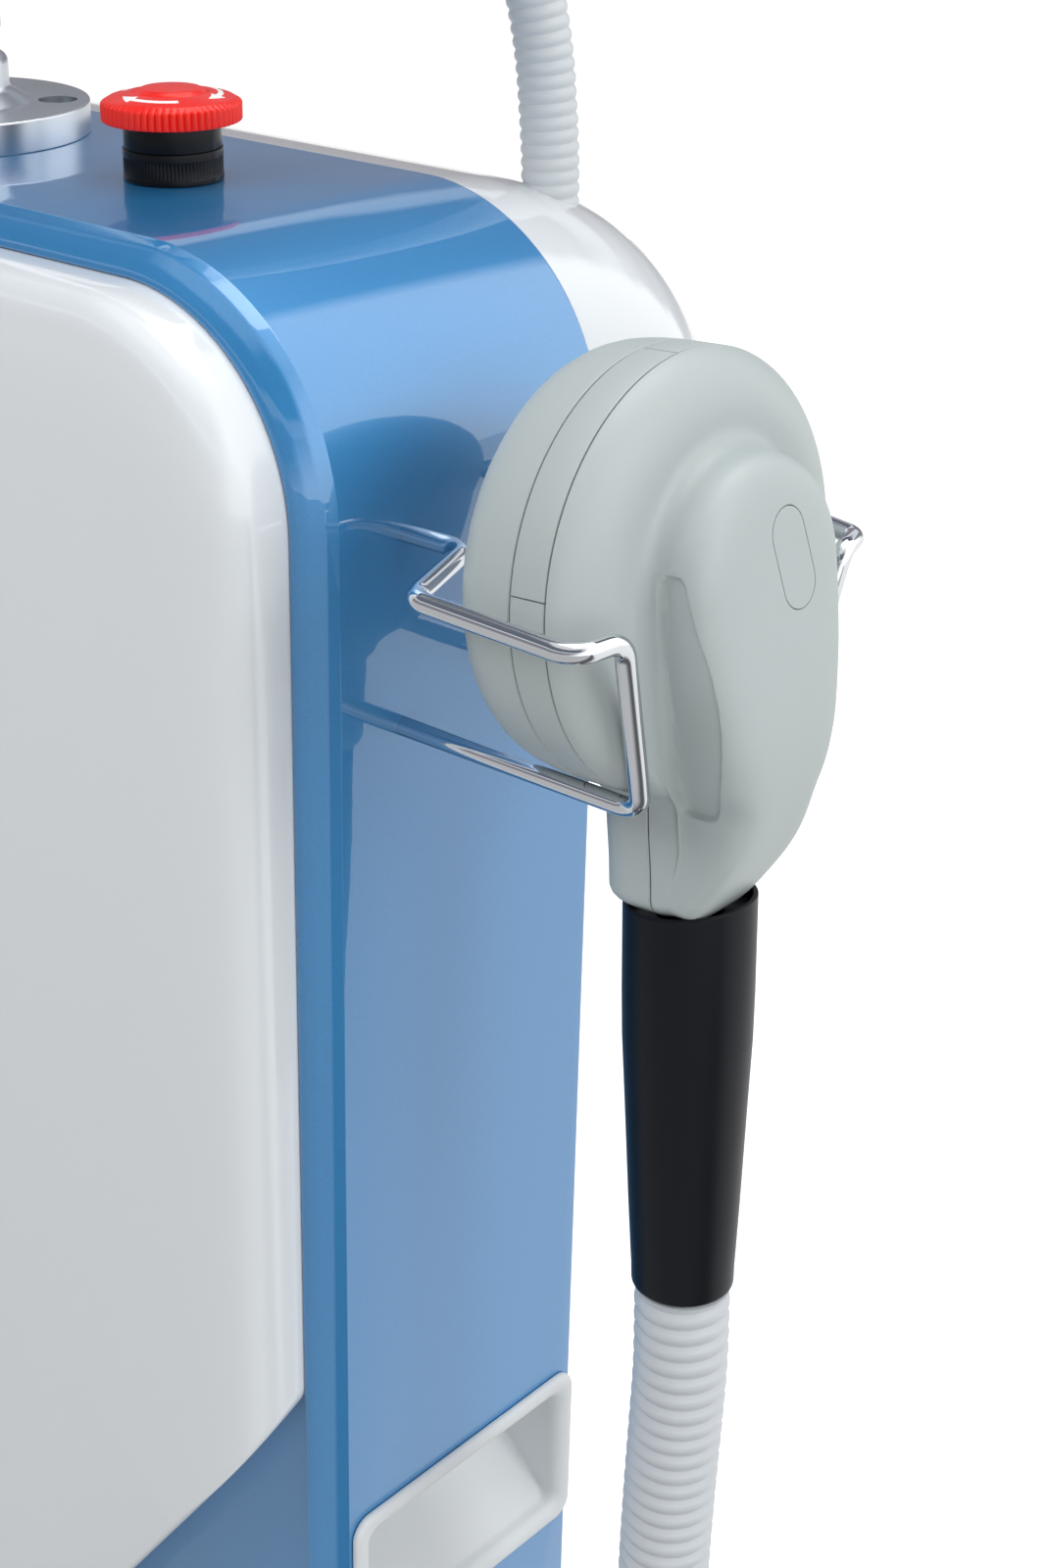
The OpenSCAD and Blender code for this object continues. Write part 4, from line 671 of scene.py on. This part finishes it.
for number, (x, y) in enumerate(bolt_places, 1):
    screw = turned(f"flange_screw_{number}", screw_profile, 48, [x, y, 0])
    cut(screw, turned("hex_socket", [[0.1, 4.0], [2.4, 4.0], [2.4, 9.0], [0.1, 9.0]], 6, [x, y, 0]))
    nodes = ["flange_screws"] if number == 1 else []
    belongs(screw, screw_steel, "cabinet", "steel", *nodes)

# --- Wire holder ------------------------------------------------------
# Two bent loops of 5.5 mm steel rod, chromium plated, whose ends pass through the arch and
# are held by nuts inside. The rear one hooks closer round the housing's edge.
WIRE_D = 5.5
WIRE_PIECE = 6.0  # longest straight piece of the mesh
chrome = finish("chromium_plate", (228, 231, 235), 0.045, metallic=1.0,
                grain_mm=1.0, relief_mm=0.001, uneven=0.01, mottle_mm=20)
for name, corners, radii, side, node in (
        ("front_holder_loop",
         [[197, -29, -71.5], [235.5, -29, -71.5], [248.3, -64, -71.5], [301.5, -67, -71.5],
          [303.3, -50.7, -71.5], [295.7, -30, -126.4], [197, -30, -126.4]],
         [0, 9, 8, 7, 8, 8, 0], 1, "front_holder_wire"),
        ("rear_holder_loop",
         [[197, 29, -71.5], [235.5, 29, -71.5], [248.3, 61, -73.6], [283, 61, -75.7],
          [297.5, 57.6, -75.7], [301, 46, -75.7], [298.5, 30, -126.4], [197, 30, -126.4]],
         [0, 9, 8, 12, 5, 5, 6, 0], -1, "rear_holder_wire")):
    bends = rounded_path(corners, radii, steps=10)
    line = [bends[0]]
    for a, b in zip(bends[:-1], bends[1:]):
        pieces = max(1, int(np.linalg.norm(b - a) / WIRE_PIECE))
        line += [a + (b - a) * k / pieces for k in range(1, pieces + 1)]
    loop = grid_object(name, tube_grid(np.array(line), WIRE_D / 2, [0.2, 0.3 * side, 0.93], 28))
    belongs(loop, chrome, "cabinet", "bright_wire", node)

# --- Applicator -------------------------------------------------------
# Hand applicator: a round coil housing in two shells with a belt between them, a long boss on
# its front with a push button, finger scoops in the boss's flanks and a neck below. Matt grey
# injection-moulded shells that meet at fine seams.
DISC_R = 57.5
SEAM_P = 10.75
FACE_RISE = 9.75
NECK_HALF = 16.8
NECK_FOOT = -92.0
SIDE_STEPS = 200
foot_turn = np.linspace(np.pi / 2, 0, 22, endpoint=False)
crown_turn = np.linspace(0, np.pi / 2, 60)


def smooth_max(a, b, reach):
    """Larger of two values, their meeting rounded: max + h^2 / (4 reach), h = reach - |a - b|."""
    h = np.maximum(reach - np.abs(a - b), 0)
    return np.maximum(a, b) + h * h / (4 * reach)


def ease(x, low, high):
    """0 below low, 1 above high, with t^2 (3 - 2t) between."""
    t = np.clip((x - low) / (high - low), 0, 1)
    return t * t * (3 - 2 * t)


def whole_ring(p, q, r):
    """Closed ring of places from a right half that runs from the foot's middle to the crown's."""
    p, q, r = np.broadcast_arrays(p, q, r)
    back = slice(-2, 0, -1)
    return applicator_point(np.append(p, p[back]), np.append(q, -q[back]), np.append(r, r[back]))


def shell_outline():
    """Right half of the housing's outline: the neck's round foot and side, and the disc's
    circle, which meets the side 73 degrees below the disc's middle in a rounded corner."""
    q_foot = NECK_HALF * np.cos(foot_turn) ** 0.55
    r_foot = NECK_FOOT + 7 - 7 * np.sin(foot_turn) ** 0.9
    meeting = math.radians(73)
    side_arc = DISC_R * meeting
    s = np.linspace(side_arc + 30, 0, SIDE_STEPS, endpoint=False)
    r_side = np.where(s < side_arc, -DISC_R * np.sin(np.minimum(s, side_arc) / DISC_R),
                      -DISC_R * math.sin(meeting) - (s - side_arc))
    circle = np.sqrt(np.maximum(DISC_R ** 2 - r_side ** 2, 0))
    neck = NECK_HALF + 0.8 * ease(r_side, -80, -62)
    q_side = smooth_max(circle, neck, 4.0)
    return (np.concatenate([q_foot, q_side, DISC_R * np.cos(crown_turn)]),
            np.concatenate([r_foot, r_side, DISC_R * np.sin(crown_turn)]))


BOSS_TOP_MIDDLE, BOSS_TOP_R, BOSS_FOOT = 4.0, 30.0, -84.5


def evened(values, reach):
    """Each value as the mean of itself and its neighbours up to reach away, ends repeated."""
    width = 2 * reach + 1
    return np.convolve(np.pad(values, reach, mode="edge"), np.ones(width) / width, "valid")


def boss_outline():
    """Right half of the boss's foot: a round lower end, a flank whose widths are joined by
    straight lines and evened, and a round top."""
    q_foot = 16.3 * np.cos(foot_turn) ** 0.6
    r_foot = BOSS_FOOT - 7 * np.sin(foot_turn) ** 0.9
    r_side = np.linspace(BOSS_FOOT, BOSS_TOP_MIDDLE, SIDE_STEPS, endpoint=False)
    q_side = np.interp(r_side, [-92, -84, -70, -62, -57, -55, -53, -48, -38, -20, -6, 4],
                       [16.2, 16.4, 16.7, 16.95, 17.1, 17.35, 18.6, 21.2, 24.3, 28.0, 29.7, 30.0])
    return (np.concatenate([q_foot, evened(q_side, 6), BOSS_TOP_R * np.cos(crown_turn)]),
            np.concatenate([r_foot, r_side, BOSS_TOP_MIDDLE + BOSS_TOP_R * np.sin(crown_turn)]))


def inward(q, r):
    """Unit vectors square to a half outline, towards its inside."""
    dq, dr = np.gradient(q), np.gradient(r)
    size = np.hypot(dq, dr)
    return -dr / size, dq / size


def crest(r):
    """Height p of the boss's crest along the housing, from its lower tip to its top: straight
    lines between its spots, evened three times."""
    spots = [-92, -86, -78, -68, -55, -45, -36, -20, 5, 22, 34]
    highs = [20.5, 25.5, 32.0, 38.2, 42.8, 44.2, 44.4, 42.8, 39.6, 37.6, 36.4]
    dense = np.linspace(-92, 34, 253)
    curve = np.interp(dense, spots, highs)
    for _ in range(3):
        curve = evened(curve, 8)
    return np.interp(r, dense, curve)


outline_q, outline_r = shell_outline()
boss_q, boss_r = boss_outline()
boss_q = np.minimum(boss_q, outline_q - 0.25)
room = np.hypot(outline_q - boss_q, outline_r - boss_r)
spare = np.clip((room - 0.3) / 20.0, 0, 1)
above_foot = ease(outline_r, -90.0, -64.0)
outline_in = inward(outline_q, outline_r)
boss_in = inward(boss_q, boss_r)
spine_r = np.clip(boss_r, BOSS_FOOT, BOSS_TOP_MIDDLE)
FILLET = 5.0
ROLL_WIDTH, ROLL_POWER = 15.0, 1.7
BOSS_POWER = 4.6
NECK_LEVELS = (14.0, 15.5, 17.0)


def drawn_in(inset):
    """The housing's outline moved inwards by inset, one value or one for each point."""
    return outline_q + outline_in[0] * inset, outline_r + outline_in[1] * inset


def scoop_depth(p, r):
    """Depth of a flank's finger scoop: 2.1 mm at its lower-p edge, 1.3 at the other, past a rim
    1.1 mm wide and a bead 0.35 mm high that fades towards the other edge. The way in from four
    edges is joined as -k log(sum(exp(-way / k))); the bead is exp(-((way + 0.45) / 0.6)^2)."""
    left = np.interp(-r, [-10, 2, 13, 23, 34, 46, 57], [24.0, 23.7, 23.6, 23.2, 22.6, 21.4, 20.6])
    right = np.interp(-r, [-10, -5, 0, 5, 10, 16, 22, 29, 35, 41, 48, 55],
                      [32.0, 32.8, 34.0, 35.4, 36.8, 38.0, 38.7, 38.9, 38.5, 37.6, 35.8, 33.6])
    ways = np.stack([p - left, right - p, 11.2 - r, r + 58.2])
    way = -1.9 * np.log(np.exp(-np.clip(ways, -30, 30) / 1.9).sum(0))
    across = np.clip((p - left) / (right - left), 0, 1)
    bead = 0.35 * np.exp(-((way + 0.45) / 0.6) ** 2) * (1 - across) ** 2
    return (2.1 - 0.8 * across) * ease(way, 0.0, 1.1) - bead


def front_shell_rings():
    """Rings of the front shell, rim to spine: lip; roll, whose rise over its width is the curve
    (1 - (1 - x)^1.7)^(1/1.7); face; fillet's quarter circle; and the crown, whose half outline
    shrinks to the spine as cos^(2/4.6) while it rises to the crest as sin^(2/4.6)."""
    rings = [(*drawn_in(inset), SEAM_P + rise) for inset, rise in ((1.5, 0), (0.35, 0), (0, 0.35))]
    past_lip = SEAM_P + 0.36
    for share in np.linspace(0.08, 1, 13):
        inset = ROLL_WIDTH * share ** ROLL_POWER
        rise = FACE_RISE * (1 - (1 - inset / ROLL_WIDTH) ** ROLL_POWER) ** (1 / ROLL_POWER)
        level = past_lip + (NECK_LEVELS[0] - past_lip) * share
        rings.append((*drawn_in(inset * spare),
                      max(SEAM_P + rise, past_lip) * above_foot + level * (1 - above_foot)))
    rim_q, rim_r, rim_p = rings[-1]
    fillet = FILLET * spare
    edge_q, edge_r = boss_q - boss_in[0] * fillet, boss_r - boss_in[1] * fillet
    face_p = (SEAM_P + FACE_RISE) * above_foot + NECK_LEVELS[1] * (1 - above_foot)
    for share in np.linspace(0, 1, 9)[1:]:
        rings.append((rim_q + (edge_q - rim_q) * share, rim_r + (edge_r - rim_r) * share,
                      rim_p + (face_p - rim_p) * share))
    wall_p = (SEAM_P + FACE_RISE + FILLET) * above_foot + NECK_LEVELS[2] * (1 - above_foot)
    for turn in np.linspace(0, np.pi / 2, 9)[1:]:
        away = fillet * (1 - math.sin(turn))
        rise = (wall_p - face_p) * (1 - math.cos(turn))
        rings.append((boss_q - boss_in[0] * away, boss_r - boss_in[1] * away, face_p + rise))
    fine = np.linspace(0, np.pi / 2, 600)
    reach, height = np.cos(fine) ** (2 / BOSS_POWER), np.sin(fine) ** (2 / BOSS_POWER)
    run = np.append(0, np.cumsum(np.hypot(np.diff(reach) * 24, np.diff(height) * 18)))
    for way in np.linspace(0, run[-1], 104)[1:]:
        r = spine_r + (boss_r - spine_r) * np.interp(way, run, reach)
        rings.append((boss_q * np.interp(way, run, reach), r,
                      wall_p + (crest(r) - wall_p) * np.interp(way, run, height)))
    return [whole_ring(p, q - scoop_depth(p, r) * ease(np.abs(q), 8.0, 13.0), r)
            for q, r, p in rings]


BUTTON_HALF_W, BUTTON_HALF_L, BUTTON_TILT = 6.8, 13.4, math.radians(12)
BUTTON_Q, BUTTON_R, BUTTON_GAP = 5.0, 8.0, 0.15


def stadium_prism(name, gap, low, high):
    """Upright-sided prism of the button's outline, grown by gap, from p = low to p = high: two
    half circles, moved apart to the button's length and tilted."""
    half_w, half_l = BUTTON_HALF_W + gap, BUTTON_HALF_L + gap
    turn = np.linspace(0, 2 * np.pi, 72, endpoint=False)
    q = half_w * np.cos(turn)
    r = half_w * np.sin(turn) + np.sign(np.sin(turn)) * (half_l - half_w)
    return grid_object(name, applicator_point(
        np.array([[low], [high]]),
        q * math.cos(BUTTON_TILT) - r * math.sin(BUTTON_TILT) + BUTTON_Q,
        q * math.sin(BUTTON_TILT) + r * math.cos(BUTTON_TILT) + BUTTON_R))


front_shell = grid_object("applicator_front_half", front_shell_rings(), end_pole=False)
button = front_shell.copy()
button.data = front_shell.data.copy()
button.name = "push_button"
bpy.context.scene.collection.objects.link(button)
cut(front_shell, stadium_prism("button_well", BUTTON_GAP, 33.0, 60.0))
cut(button, stadium_prism("button_blank", -0.12, 35.0, 60.0), "INTERSECT")
paddle_grey = finish("applicator_grey_plastic", (177, 186, 186), 0.46, coat=0.06,
                     coat_roughness=0.35, grain_mm=0.45, relief_mm=0.02, uneven=0.015, mottle_mm=50)
belongs(front_shell, paddle_grey, "applicator", "paddle_grey", "applicator_front_shell")
belongs(button, paddle_grey, "trigger", "paddle_grey", "trigger_button")

DISC_BACK = [(0.35, -0.45), (0.0, -0.8), (0.15, -4.0), (0.5, -8.0), (1.1, -11.8), (2.1, -15.0),
             (3.8, -18.0), (6.4, -20.4), (9.6, -22.0), (13.5, -22.8), (18.0, -23.0)]
NECK_BACK = [(0.35, 10.45), (0.0, 10.1), (0.0, 6.0), (0.1, 2.0), (0.6, -1.2), (1.5, -3.4),
             (2.9, -5.1), (4.6, -6.1), (6.4, -6.7), (8.4, -6.9), (10.5, -7.0)]


def back_shell_rings():
    """Rings of the back shell, from the seam round its edge to its flat back and the spine: each
    is drawn in and set back as DISC_BACK says on the disc and NECK_BACK on the neck, with an
    eased step between them, which is sharp at the seam."""
    rings = []
    is_disc = (outline_r > -55.2).astype(float)
    on_disc = ease(outline_r, -60.0, -50.0)
    for (d_in, d_p), (n_in, n_p) in zip(DISC_BACK, NECK_BACK):
        disc = is_disc if d_p > -1 else on_disc
        q, r = drawn_in(d_in * disc + n_in * (1 - disc))
        rings.append((d_p * disc + n_p * (1 - disc), np.maximum(q, 0), r))
    p, q, r = rings[-1]
    rings += [(p, q * (1 - share), r + (spine_r * 0.9 - r) * share)
              for share in (0.2, 0.45, 0.7, 0.9, 1.0)]
    return [whole_ring(*ring) for ring in rings]


back_shell = grid_object("applicator_back_half", back_shell_rings(), end_pole=False)
belongs(back_shell, paddle_grey, "applicator", "paddle_grey", "applicator_back_shell")


BELT_W, BELT_THICK = 10.45, 2.5


def belt_sector(name, start, end):
    """Stretch of the belt between two angles from rearwards to upwards: a rounded bar section."""
    inside = DISC_R - BELT_THICK
    section = rounded_path([[DISC_R, 0.0], [DISC_R, BELT_W], [inside, BELT_W], [inside, 0.0]],
                           [0.35, 0.3, 0.1, 0.1], steps=3, closed=True)
    out, along = section.T
    angle = np.radians(np.linspace(start, end, max(8, int(abs(end - start)))))[:, None]
    return grid_object(name, applicator_point(along, out * np.cos(angle), out * np.sin(angle)))


JUNCTION = math.degrees(math.asin((NECK_HALF + 0.6) / DISC_R))
HATCH_START, HATCH_END, HATCH_GAP = 94.3, 172.0, 0.35
for name, start, end, nodes in (
        ("belt_hatch", HATCH_START, HATCH_END, ["rim_hatch"]),
        ("belt_front_run", HATCH_END + HATCH_GAP, 270 - JUNCTION, ["rim_belt"]),
        ("belt_rear_run", 270 + JUNCTION, 360 + HATCH_START - HATCH_GAP, [])):
    belongs(belt_sector(name, start, end), paddle_grey, "applicator", "paddle_grey", *nodes)

# --- Handle -----------------------------------------------------------
# Black sleeve below the neck: its open rim rises in front of the neck's foot, and it narrows to
# the hose. Thick-walled moulding with a soft-touch coat.
sleeve_profile = rounded_path(
    [[9.0, -4.0], [16.2, -4.0], [16.6, 0.0], [18.0, 0.0], [18.0, -26.0], [17.8, -40.0],
     [16.9, -61.0], [15.6, -93.0], [14.9, -108.0], [14.6, -114.0], [14.5, -119.9], [9.0, -119.9]],
    [0, 0.3, 0.3, 0.5, 30, 30, 30, 30, 10, 10, 1.6, 0], steps=5)
HANDLE_R, RIM_RISE = 18.0, 4.4
turn = np.linspace(0, 2 * np.pi, 96, endpoint=False)
sleeve_out, sleeve_up = sleeve_profile.T[:, :, None]
sleeve_x = sleeve_out * np.cos(turn)
rise = RIM_RISE * (sleeve_x + HANDLE_R) / (2 * HANDLE_R) * ease(sleeve_up, -12.0, 0.0)
handle = grid_object("handle_soft_sleeve", sleeve_point(sleeve_x, sleeve_out * np.sin(turn),
                                                        sleeve_up + rise), loop=True)
soft_black = finish("handle_soft_black", (14, 17, 23), 0.36, grain_mm=0.4, relief_mm=0.012,
                    uneven=0.08, mottle_mm=40, ior=1.3)
belongs(handle, soft_black, "applicator", "black_plastic", "handle_sleeve")

# --- Turned, sawn and cast pieces whose solids have the right shape ---
# Column, bracket, chassis, castors and what is inside the cabinet keep their solids. Each gets
# its own finish and a fine broken edge.
steel = finish("blasted_steel", (150, 153, 158), 0.42, metallic=0.9, grain_mm=0.8,
               relief_mm=0.01)
zinc = finish("zinc_plated_steel", (176, 178, 180), 0.32, metallic=1.0, grain_mm=0.9,
              relief_mm=0.01, uneven=0.06, mottle_mm=12)
dark_plastic = finish("dark_grey_plastic", (66, 69, 74), 0.45, coat=0.1, coat_roughness=0.3,
                      grain_mm=0.7, relief_mm=0.02)
black_plastic = finish("black_satin_plastic", (32, 34, 38), 0.4, grain_mm=0.6, relief_mm=0.015)
copper = finish("enamelled_copper", (176, 96, 52), 0.3, metallic=0.9, coat=0.6, grain_mm=0.4,
                relief_mm=0.01)
board_green = finish("board_lacquer", (30, 92, 56), 0.35, coat=0.5, grain_mm=0.8, relief_mm=0.01)
CASTORS = ("front_left", "front_right", "rear_left", "rear_right")
SOLIDS = [
    (anodised, "arm_column power_supply capacitor_bank"),
    (zinc, "tilt_pin holder_nuts " + " ".join(f"{corner}_fork {corner}_axle" for corner in CASTORS)),
    (steel, "chassis_frame"),
    (dark_plastic, "screen_bracket conduit_socket hose_cuff hose_gland conduit_gland coil_core "
                   "coolant_pump"),
    (black_plastic, "stop_stem stop_contacts cooling_fan fan_frame mains_inlet"),
    (copper, "coil_winding"),
    (board_green, "control_board"),
    (stop_red, "power_rocker"),
    (white_acrylic, "rear_housing service_panel"),
]
CORNER_JOIN, EDGE_BREAK = 0.005, 0.4
for material, node in [(material, node) for material, names in SOLIDS for node in names.split()]:
    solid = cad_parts[node]
    solid.material_slots[0].material = material
    if "custom_normal" in solid.data.attributes:
        solid.data.attributes.remove(solid.data.attributes["custom_normal"])
    solid.data.polygons.foreach_set("use_smooth", np.ones(len(solid.data.polygons), bool))
    joined = solid.modifiers.new("joined_corners", "WELD")
    joined.merge_threshold = CORNER_JOIN / 1000
    broken = solid.modifiers.new("broken_edge", "BEVEL")
    broken.width = EDGE_BREAK / 1000
    broken.segments = 2
    broken.limit_method = "ANGLE"
    broken.angle_limit = math.radians(32)
    broken.harden_normals = True

# --- Screen -----------------------------------------------------------
# Flat touch screen in a white moulded case with rounded edges, tilted back on its bracket, and a
# black glass front.
TILT = math.radians(-20.0)
TILT_HEIGHT, SCREEN_MIDDLE, SCREEN_BACK, SCREEN_THICK = 188.0, 30.0, -26.0, 28.0
SCREEN_W, SCREEN_H, SCREEN_CORNER_R = 290.0, 195.0, 14.0


def on_screen(x, depth, height):
    """Places of the screen's own frame, tilted about the pin, from the deck's middle."""
    return places(x, depth * math.cos(TILT) - height * math.sin(TILT),
                  TILT_HEIGHT + depth * math.sin(TILT) + height * math.cos(TILT))


def screen_rings(rings):
    """Rings of the screen's rounded outline, drawn in by inset at a depth, for (inset, depth)."""
    flat = [(convex_ring(rectangle(SCREEN_W, SCREEN_H), [SCREEN_CORNER_R] * 4, inset, 10), depth)
            for inset, depth in rings]
    return [on_screen(ring[:, 0], depth, SCREEN_MIDDLE + ring[:, 1]) for ring, depth in flat]


face = SCREEN_BACK - SCREEN_THICK
case_rings = [(9.0, SCREEN_BACK), (4.0, SCREEN_BACK - 0.5), (1.4, SCREEN_BACK - 2.4),
              (0.2, SCREEN_BACK - 5.5), (0, SCREEN_BACK - 9), (0, face + 3), (0.4, face + 1.2),
              (1.6, face + 0.1), (7.2, face), (7.9, face + 0.5), (8.0, face + 1.6)]
screen_case = grid_object("screen_case_moulding", screen_rings(case_rings))
belongs(screen_case, white_acrylic, "screen", "white_gloss", "screen_case")
glass_rings = [(8.4, face + 1.5), (8.3, face + 0.4), (8.8, face + 0.1), (20, face)]
screen_glass = grid_object("screen_front_glass", screen_rings(glass_rings))
black_glass = finish("black_glass", (14, 16, 20), 0.05, coat=1.0, coat_roughness=0.0,
                     grain_mm=5, relief_mm=0.0005, uneven=0.1, mottle_mm=200)
belongs(screen_glass, black_glass, "screen", "screen_black", "screen_glass")

# --- Base -------------------------------------------------------------
# Dark grey moulded base with rounded edges. It carries the cabinet, and the four castors are
# screwed to its underside.
base_low, base_high = ((np.array(corner) - DECK_MIDDLE) * 1000 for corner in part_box("base_plinth"))
base_w, base_l, base_thick = base_high - base_low
base_middle = (base_low + base_high) / 2
BASE_CORNER_R = 40.0
base_rings = []
for inset, height in ((3, 0), (0.8, 0.9), (0, 3), (0, base_thick - 8), (0.6, base_thick - 4.5),
                      (2.4, base_thick - 1.8), (5.5, base_thick - 0.2), (9, base_thick)):
    ring = convex_ring(rectangle(base_w, base_l), [BASE_CORNER_R] * 4, inset, 16)
    base_rings.append(places(base_middle[0] + ring[:, 0], base_middle[1] + ring[:, 1],
                             base_low[2] + height))
base = grid_object("base_moulding", base_rings)
belongs(base, dark_plastic, "cabinet", "base_dark", "base_plinth")

# --- Castor wheels ----------------------------------------------------
# Grey rubber tyres pressed on moulded hubs, which turn about their axles. All four wheels
# are alike.
tyre_rubber = finish("tyre_grey_rubber", (92, 95, 99), 0.6, grain_mm=1.0, relief_mm=0.03)
hub_plastic = finish("hub_light_plastic", (190, 194, 198), 0.4, grain_mm=0.8, relief_mm=0.015)


def wheel(name, profile, centre):
    """Closed profile of (radius, sideways) turned about the axle, which runs along X."""
    radius, sideways = profile.T[:, :, None]
    angle = np.linspace(0, 2 * np.pi, 96, endpoint=False)
    return grid_object(name, places(centre[0] + sideways, centre[1] + radius * np.cos(angle),
                                    centre[2] + radius * np.sin(angle)), loop=True)


tyre_profile = rounded_path([[37.5, -12], [37.5, 12], [30, 12], [29, 8], [29, -8], [30, -12]],
                            [7, 7, 1.5, 1, 1, 1.5], steps=6, closed=True)
hub_profile = rounded_path(
    [[29.2, -8.2], [29.2, 8.2], [12, 8.2], [11, 13.2], [4.1, 13.2], [4.1, -13.2], [11, -13.2],
     [12, -8.2]], [1, 1, 2, 0.6, 0.3, 0.3, 0.6, 2], steps=4, closed=True)
for corner in CASTORS:
    low, high = (np.array(c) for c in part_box(f"{corner}_wheel"))
    hub_centre = ((low + high) / 2 - DECK_MIDDLE) * 1000
    tyre = wheel(f"{corner}_tyre", tyre_profile, hub_centre)
    belongs(tyre, tyre_rubber, f"{corner}_roller", "tyre_grey", f"{corner}_wheel")
    hub = wheel(f"{corner}_hub", hub_profile, hub_centre)
    belongs(hub, hub_plastic, f"{corner}_roller", "tyre_grey")

# --- Studio -----------------------------------------------------------
# Pale floor under soft light: large lamps above the front left, the right and the back, and a low
# one at the front right. Gloss and metal mirror a surround that is white on the right, grey low
# down and dark above, with a light band between, and a floor with a dark strip beside the part.
FLOOR_REACH = 14.0
floor_mesh = bpy.data.meshes.new("studio_floor")
floor_mesh.from_pydata([[x * FLOOR_REACH, y * FLOOR_REACH, 0] for x, y in
                        ((-1, -1), (1, -1), (1, 1), (-1, 1))], [], [[0, 1, 2, 3]])
studio_floor = bpy.data.objects.new("studio_floor", floor_mesh)
bpy.context.scene.collection.objects.link(studio_floor)


def ramp(tree, value, stops):
    """Colour output of a ramp through (place, colour) stops, the first at 0 and the last at 1."""
    node = tree.nodes.new("ShaderNodeValToRGB")
    elements = node.color_ramp.elements
    for element, (_, colour) in zip(elements, (stops[0], stops[-1])):
        element.color = (*colour, 1)
    for place, colour in stops[1:-1]:
        elements.new(place).color = (*colour, 1)
    feed(tree, node.inputs["Fac"], value)
    return node.outputs["Color"]


floor_paint = bpy.data.materials.new("studio_floor_white")
floor_paint.use_nodes = True
tree = floor_paint.node_tree
rays = add_node(tree, "LightPath")
spot = add_node(tree, "SeparateXYZ", Vector=add_node(tree, "TexCoord")["Object"])
rearwards = add_node(tree, "MapRange", Value=spot["Y"], From_Min=-1.0, From_Max=1.0)
tone = ramp(tree, rearwards["Result"], [
    (place, [grey] * 3) for place, grey in
    ((0, 0.5), (0.30, 0.55), (0.42, 0.1), (0.56, 0.1), (0.68, 0.9), (1, 0.96))])
seen = add_node(tree, "Math", rays["Is Camera Ray"], 0.8, operation="MULTIPLY")
glow = add_node(tree, "Math", rays["Is Glossy Ray"], tone, seen["Value"], operation="MULTIPLY_ADD")
ground = add_node(tree, "MapRange", Value=rays["Is Glossy Ray"], To_Min=0.6, To_Max=0.0)
for socket, value in (("Roughness", 0.9), ("Emission Color", (1, 1, 1, 1)),
                      ("Emission Strength", glow["Value"]), ("Base Color", ground["Result"])):
    feed(tree, tree.nodes["Principled BSDF"].inputs[socket], value)
floor_mesh.materials.append(floor_paint)

world = bpy.data.worlds.new("studio_surround")
bpy.context.scene.world = world
world.use_nodes = True
tree = world.node_tree
rays = add_node(tree, "LightPath")
way = add_node(tree, "TexCoord")["Generated"]
axis = add_node(tree, "SeparateXYZ", Vector=way)
edge = add_node(tree, "TexNoise", Vector=way, Scale=9.0)
height = add_node(tree, "Math", edge["Fac"], 0.06, axis["Z"], operation="MULTIPLY_ADD")
bands = ramp(tree, height["Value"], [
    (0, (0.5, 0.5, 0.5)), (0.05, (0.28, 0.26, 0.28)), (0.35, (0.24, 0.23, 0.26)),
    (0.385, (0.75, 0.78, 0.82)), (0.46, (0.75, 0.78, 0.82)), (0.50, (0.13, 0.15, 0.19)),
    (0.80, (0.16, 0.17, 0.2)), (0.88, (0.8, 0.8, 0.8)), (1, (0.8, 0.8, 0.8))])
right = add_node(tree, "MapRange", Value=axis["X"], From_Min=0.06, From_Max=0.14)
lean = add_node(tree, "Math", axis["Z"], axis["Y"], operation="SUBTRACT")
front = add_node(tree, "MapRange", Value=lean["Value"], From_Min=0.6, From_Max=1.0, To_Min=1.0,
                 To_Max=0.0)
wall = add_node(tree, "Math", right["Result"], front["Result"], operation="MULTIPLY")
mirrored = mixed(tree, wall["Value"], bands, (1.6, 1.6, 1.6, 1))
around = mixed(tree, rays["Is Glossy Ray"], (0.46, 0.46, 0.46, 1), mirrored)
backdrop = mixed(tree, rays["Is Camera Ray"], around, (1.05, 1.05, 1.05, 1))
feed(tree, tree.nodes["Background"].inputs["Color"], backdrop)


def soft_lamp(name, place, aim, size, power, mirrored):
    """Square area lamp at place that looks at aim, all in metres; gloss shows it if mirrored."""
    data = bpy.data.lights.new(name, "AREA")
    data.shape = "SQUARE"
    data.size = size
    data.energy = power
    lamp = bpy.data.objects.new(name, data)
    bpy.context.scene.collection.objects.link(lamp)
    lamp.location = place
    lamp.visible_glossy = mirrored
    lamp.visible_camera = False
    direction = np.array(aim) - np.array(place)
    flat = math.hypot(direction[0], direction[1])
    lamp.rotation_euler = (math.atan2(flat, -direction[2]), 0,
                           math.atan2(-direction[0], direction[1]))


HEART = (0.0, 0.0, 0.8)
soft_lamp("key_softbox", (-0.45, -1.1, 2.0), HEART, 1.0, 12.5, False)
soft_lamp("side_softbox", (2.6, 0.4, 1.9), HEART, 1.4, 30, False)
soft_lamp("top_softbox", (0.2, 0.6, 3.2), HEART, 1.8, 25, True)
soft_lamp("low_softbox", (1.7, -1.1, 0.8), HEART, 1.0, 5.5, False)
bpy.context.scene.view_settings.view_transform = "Standard"
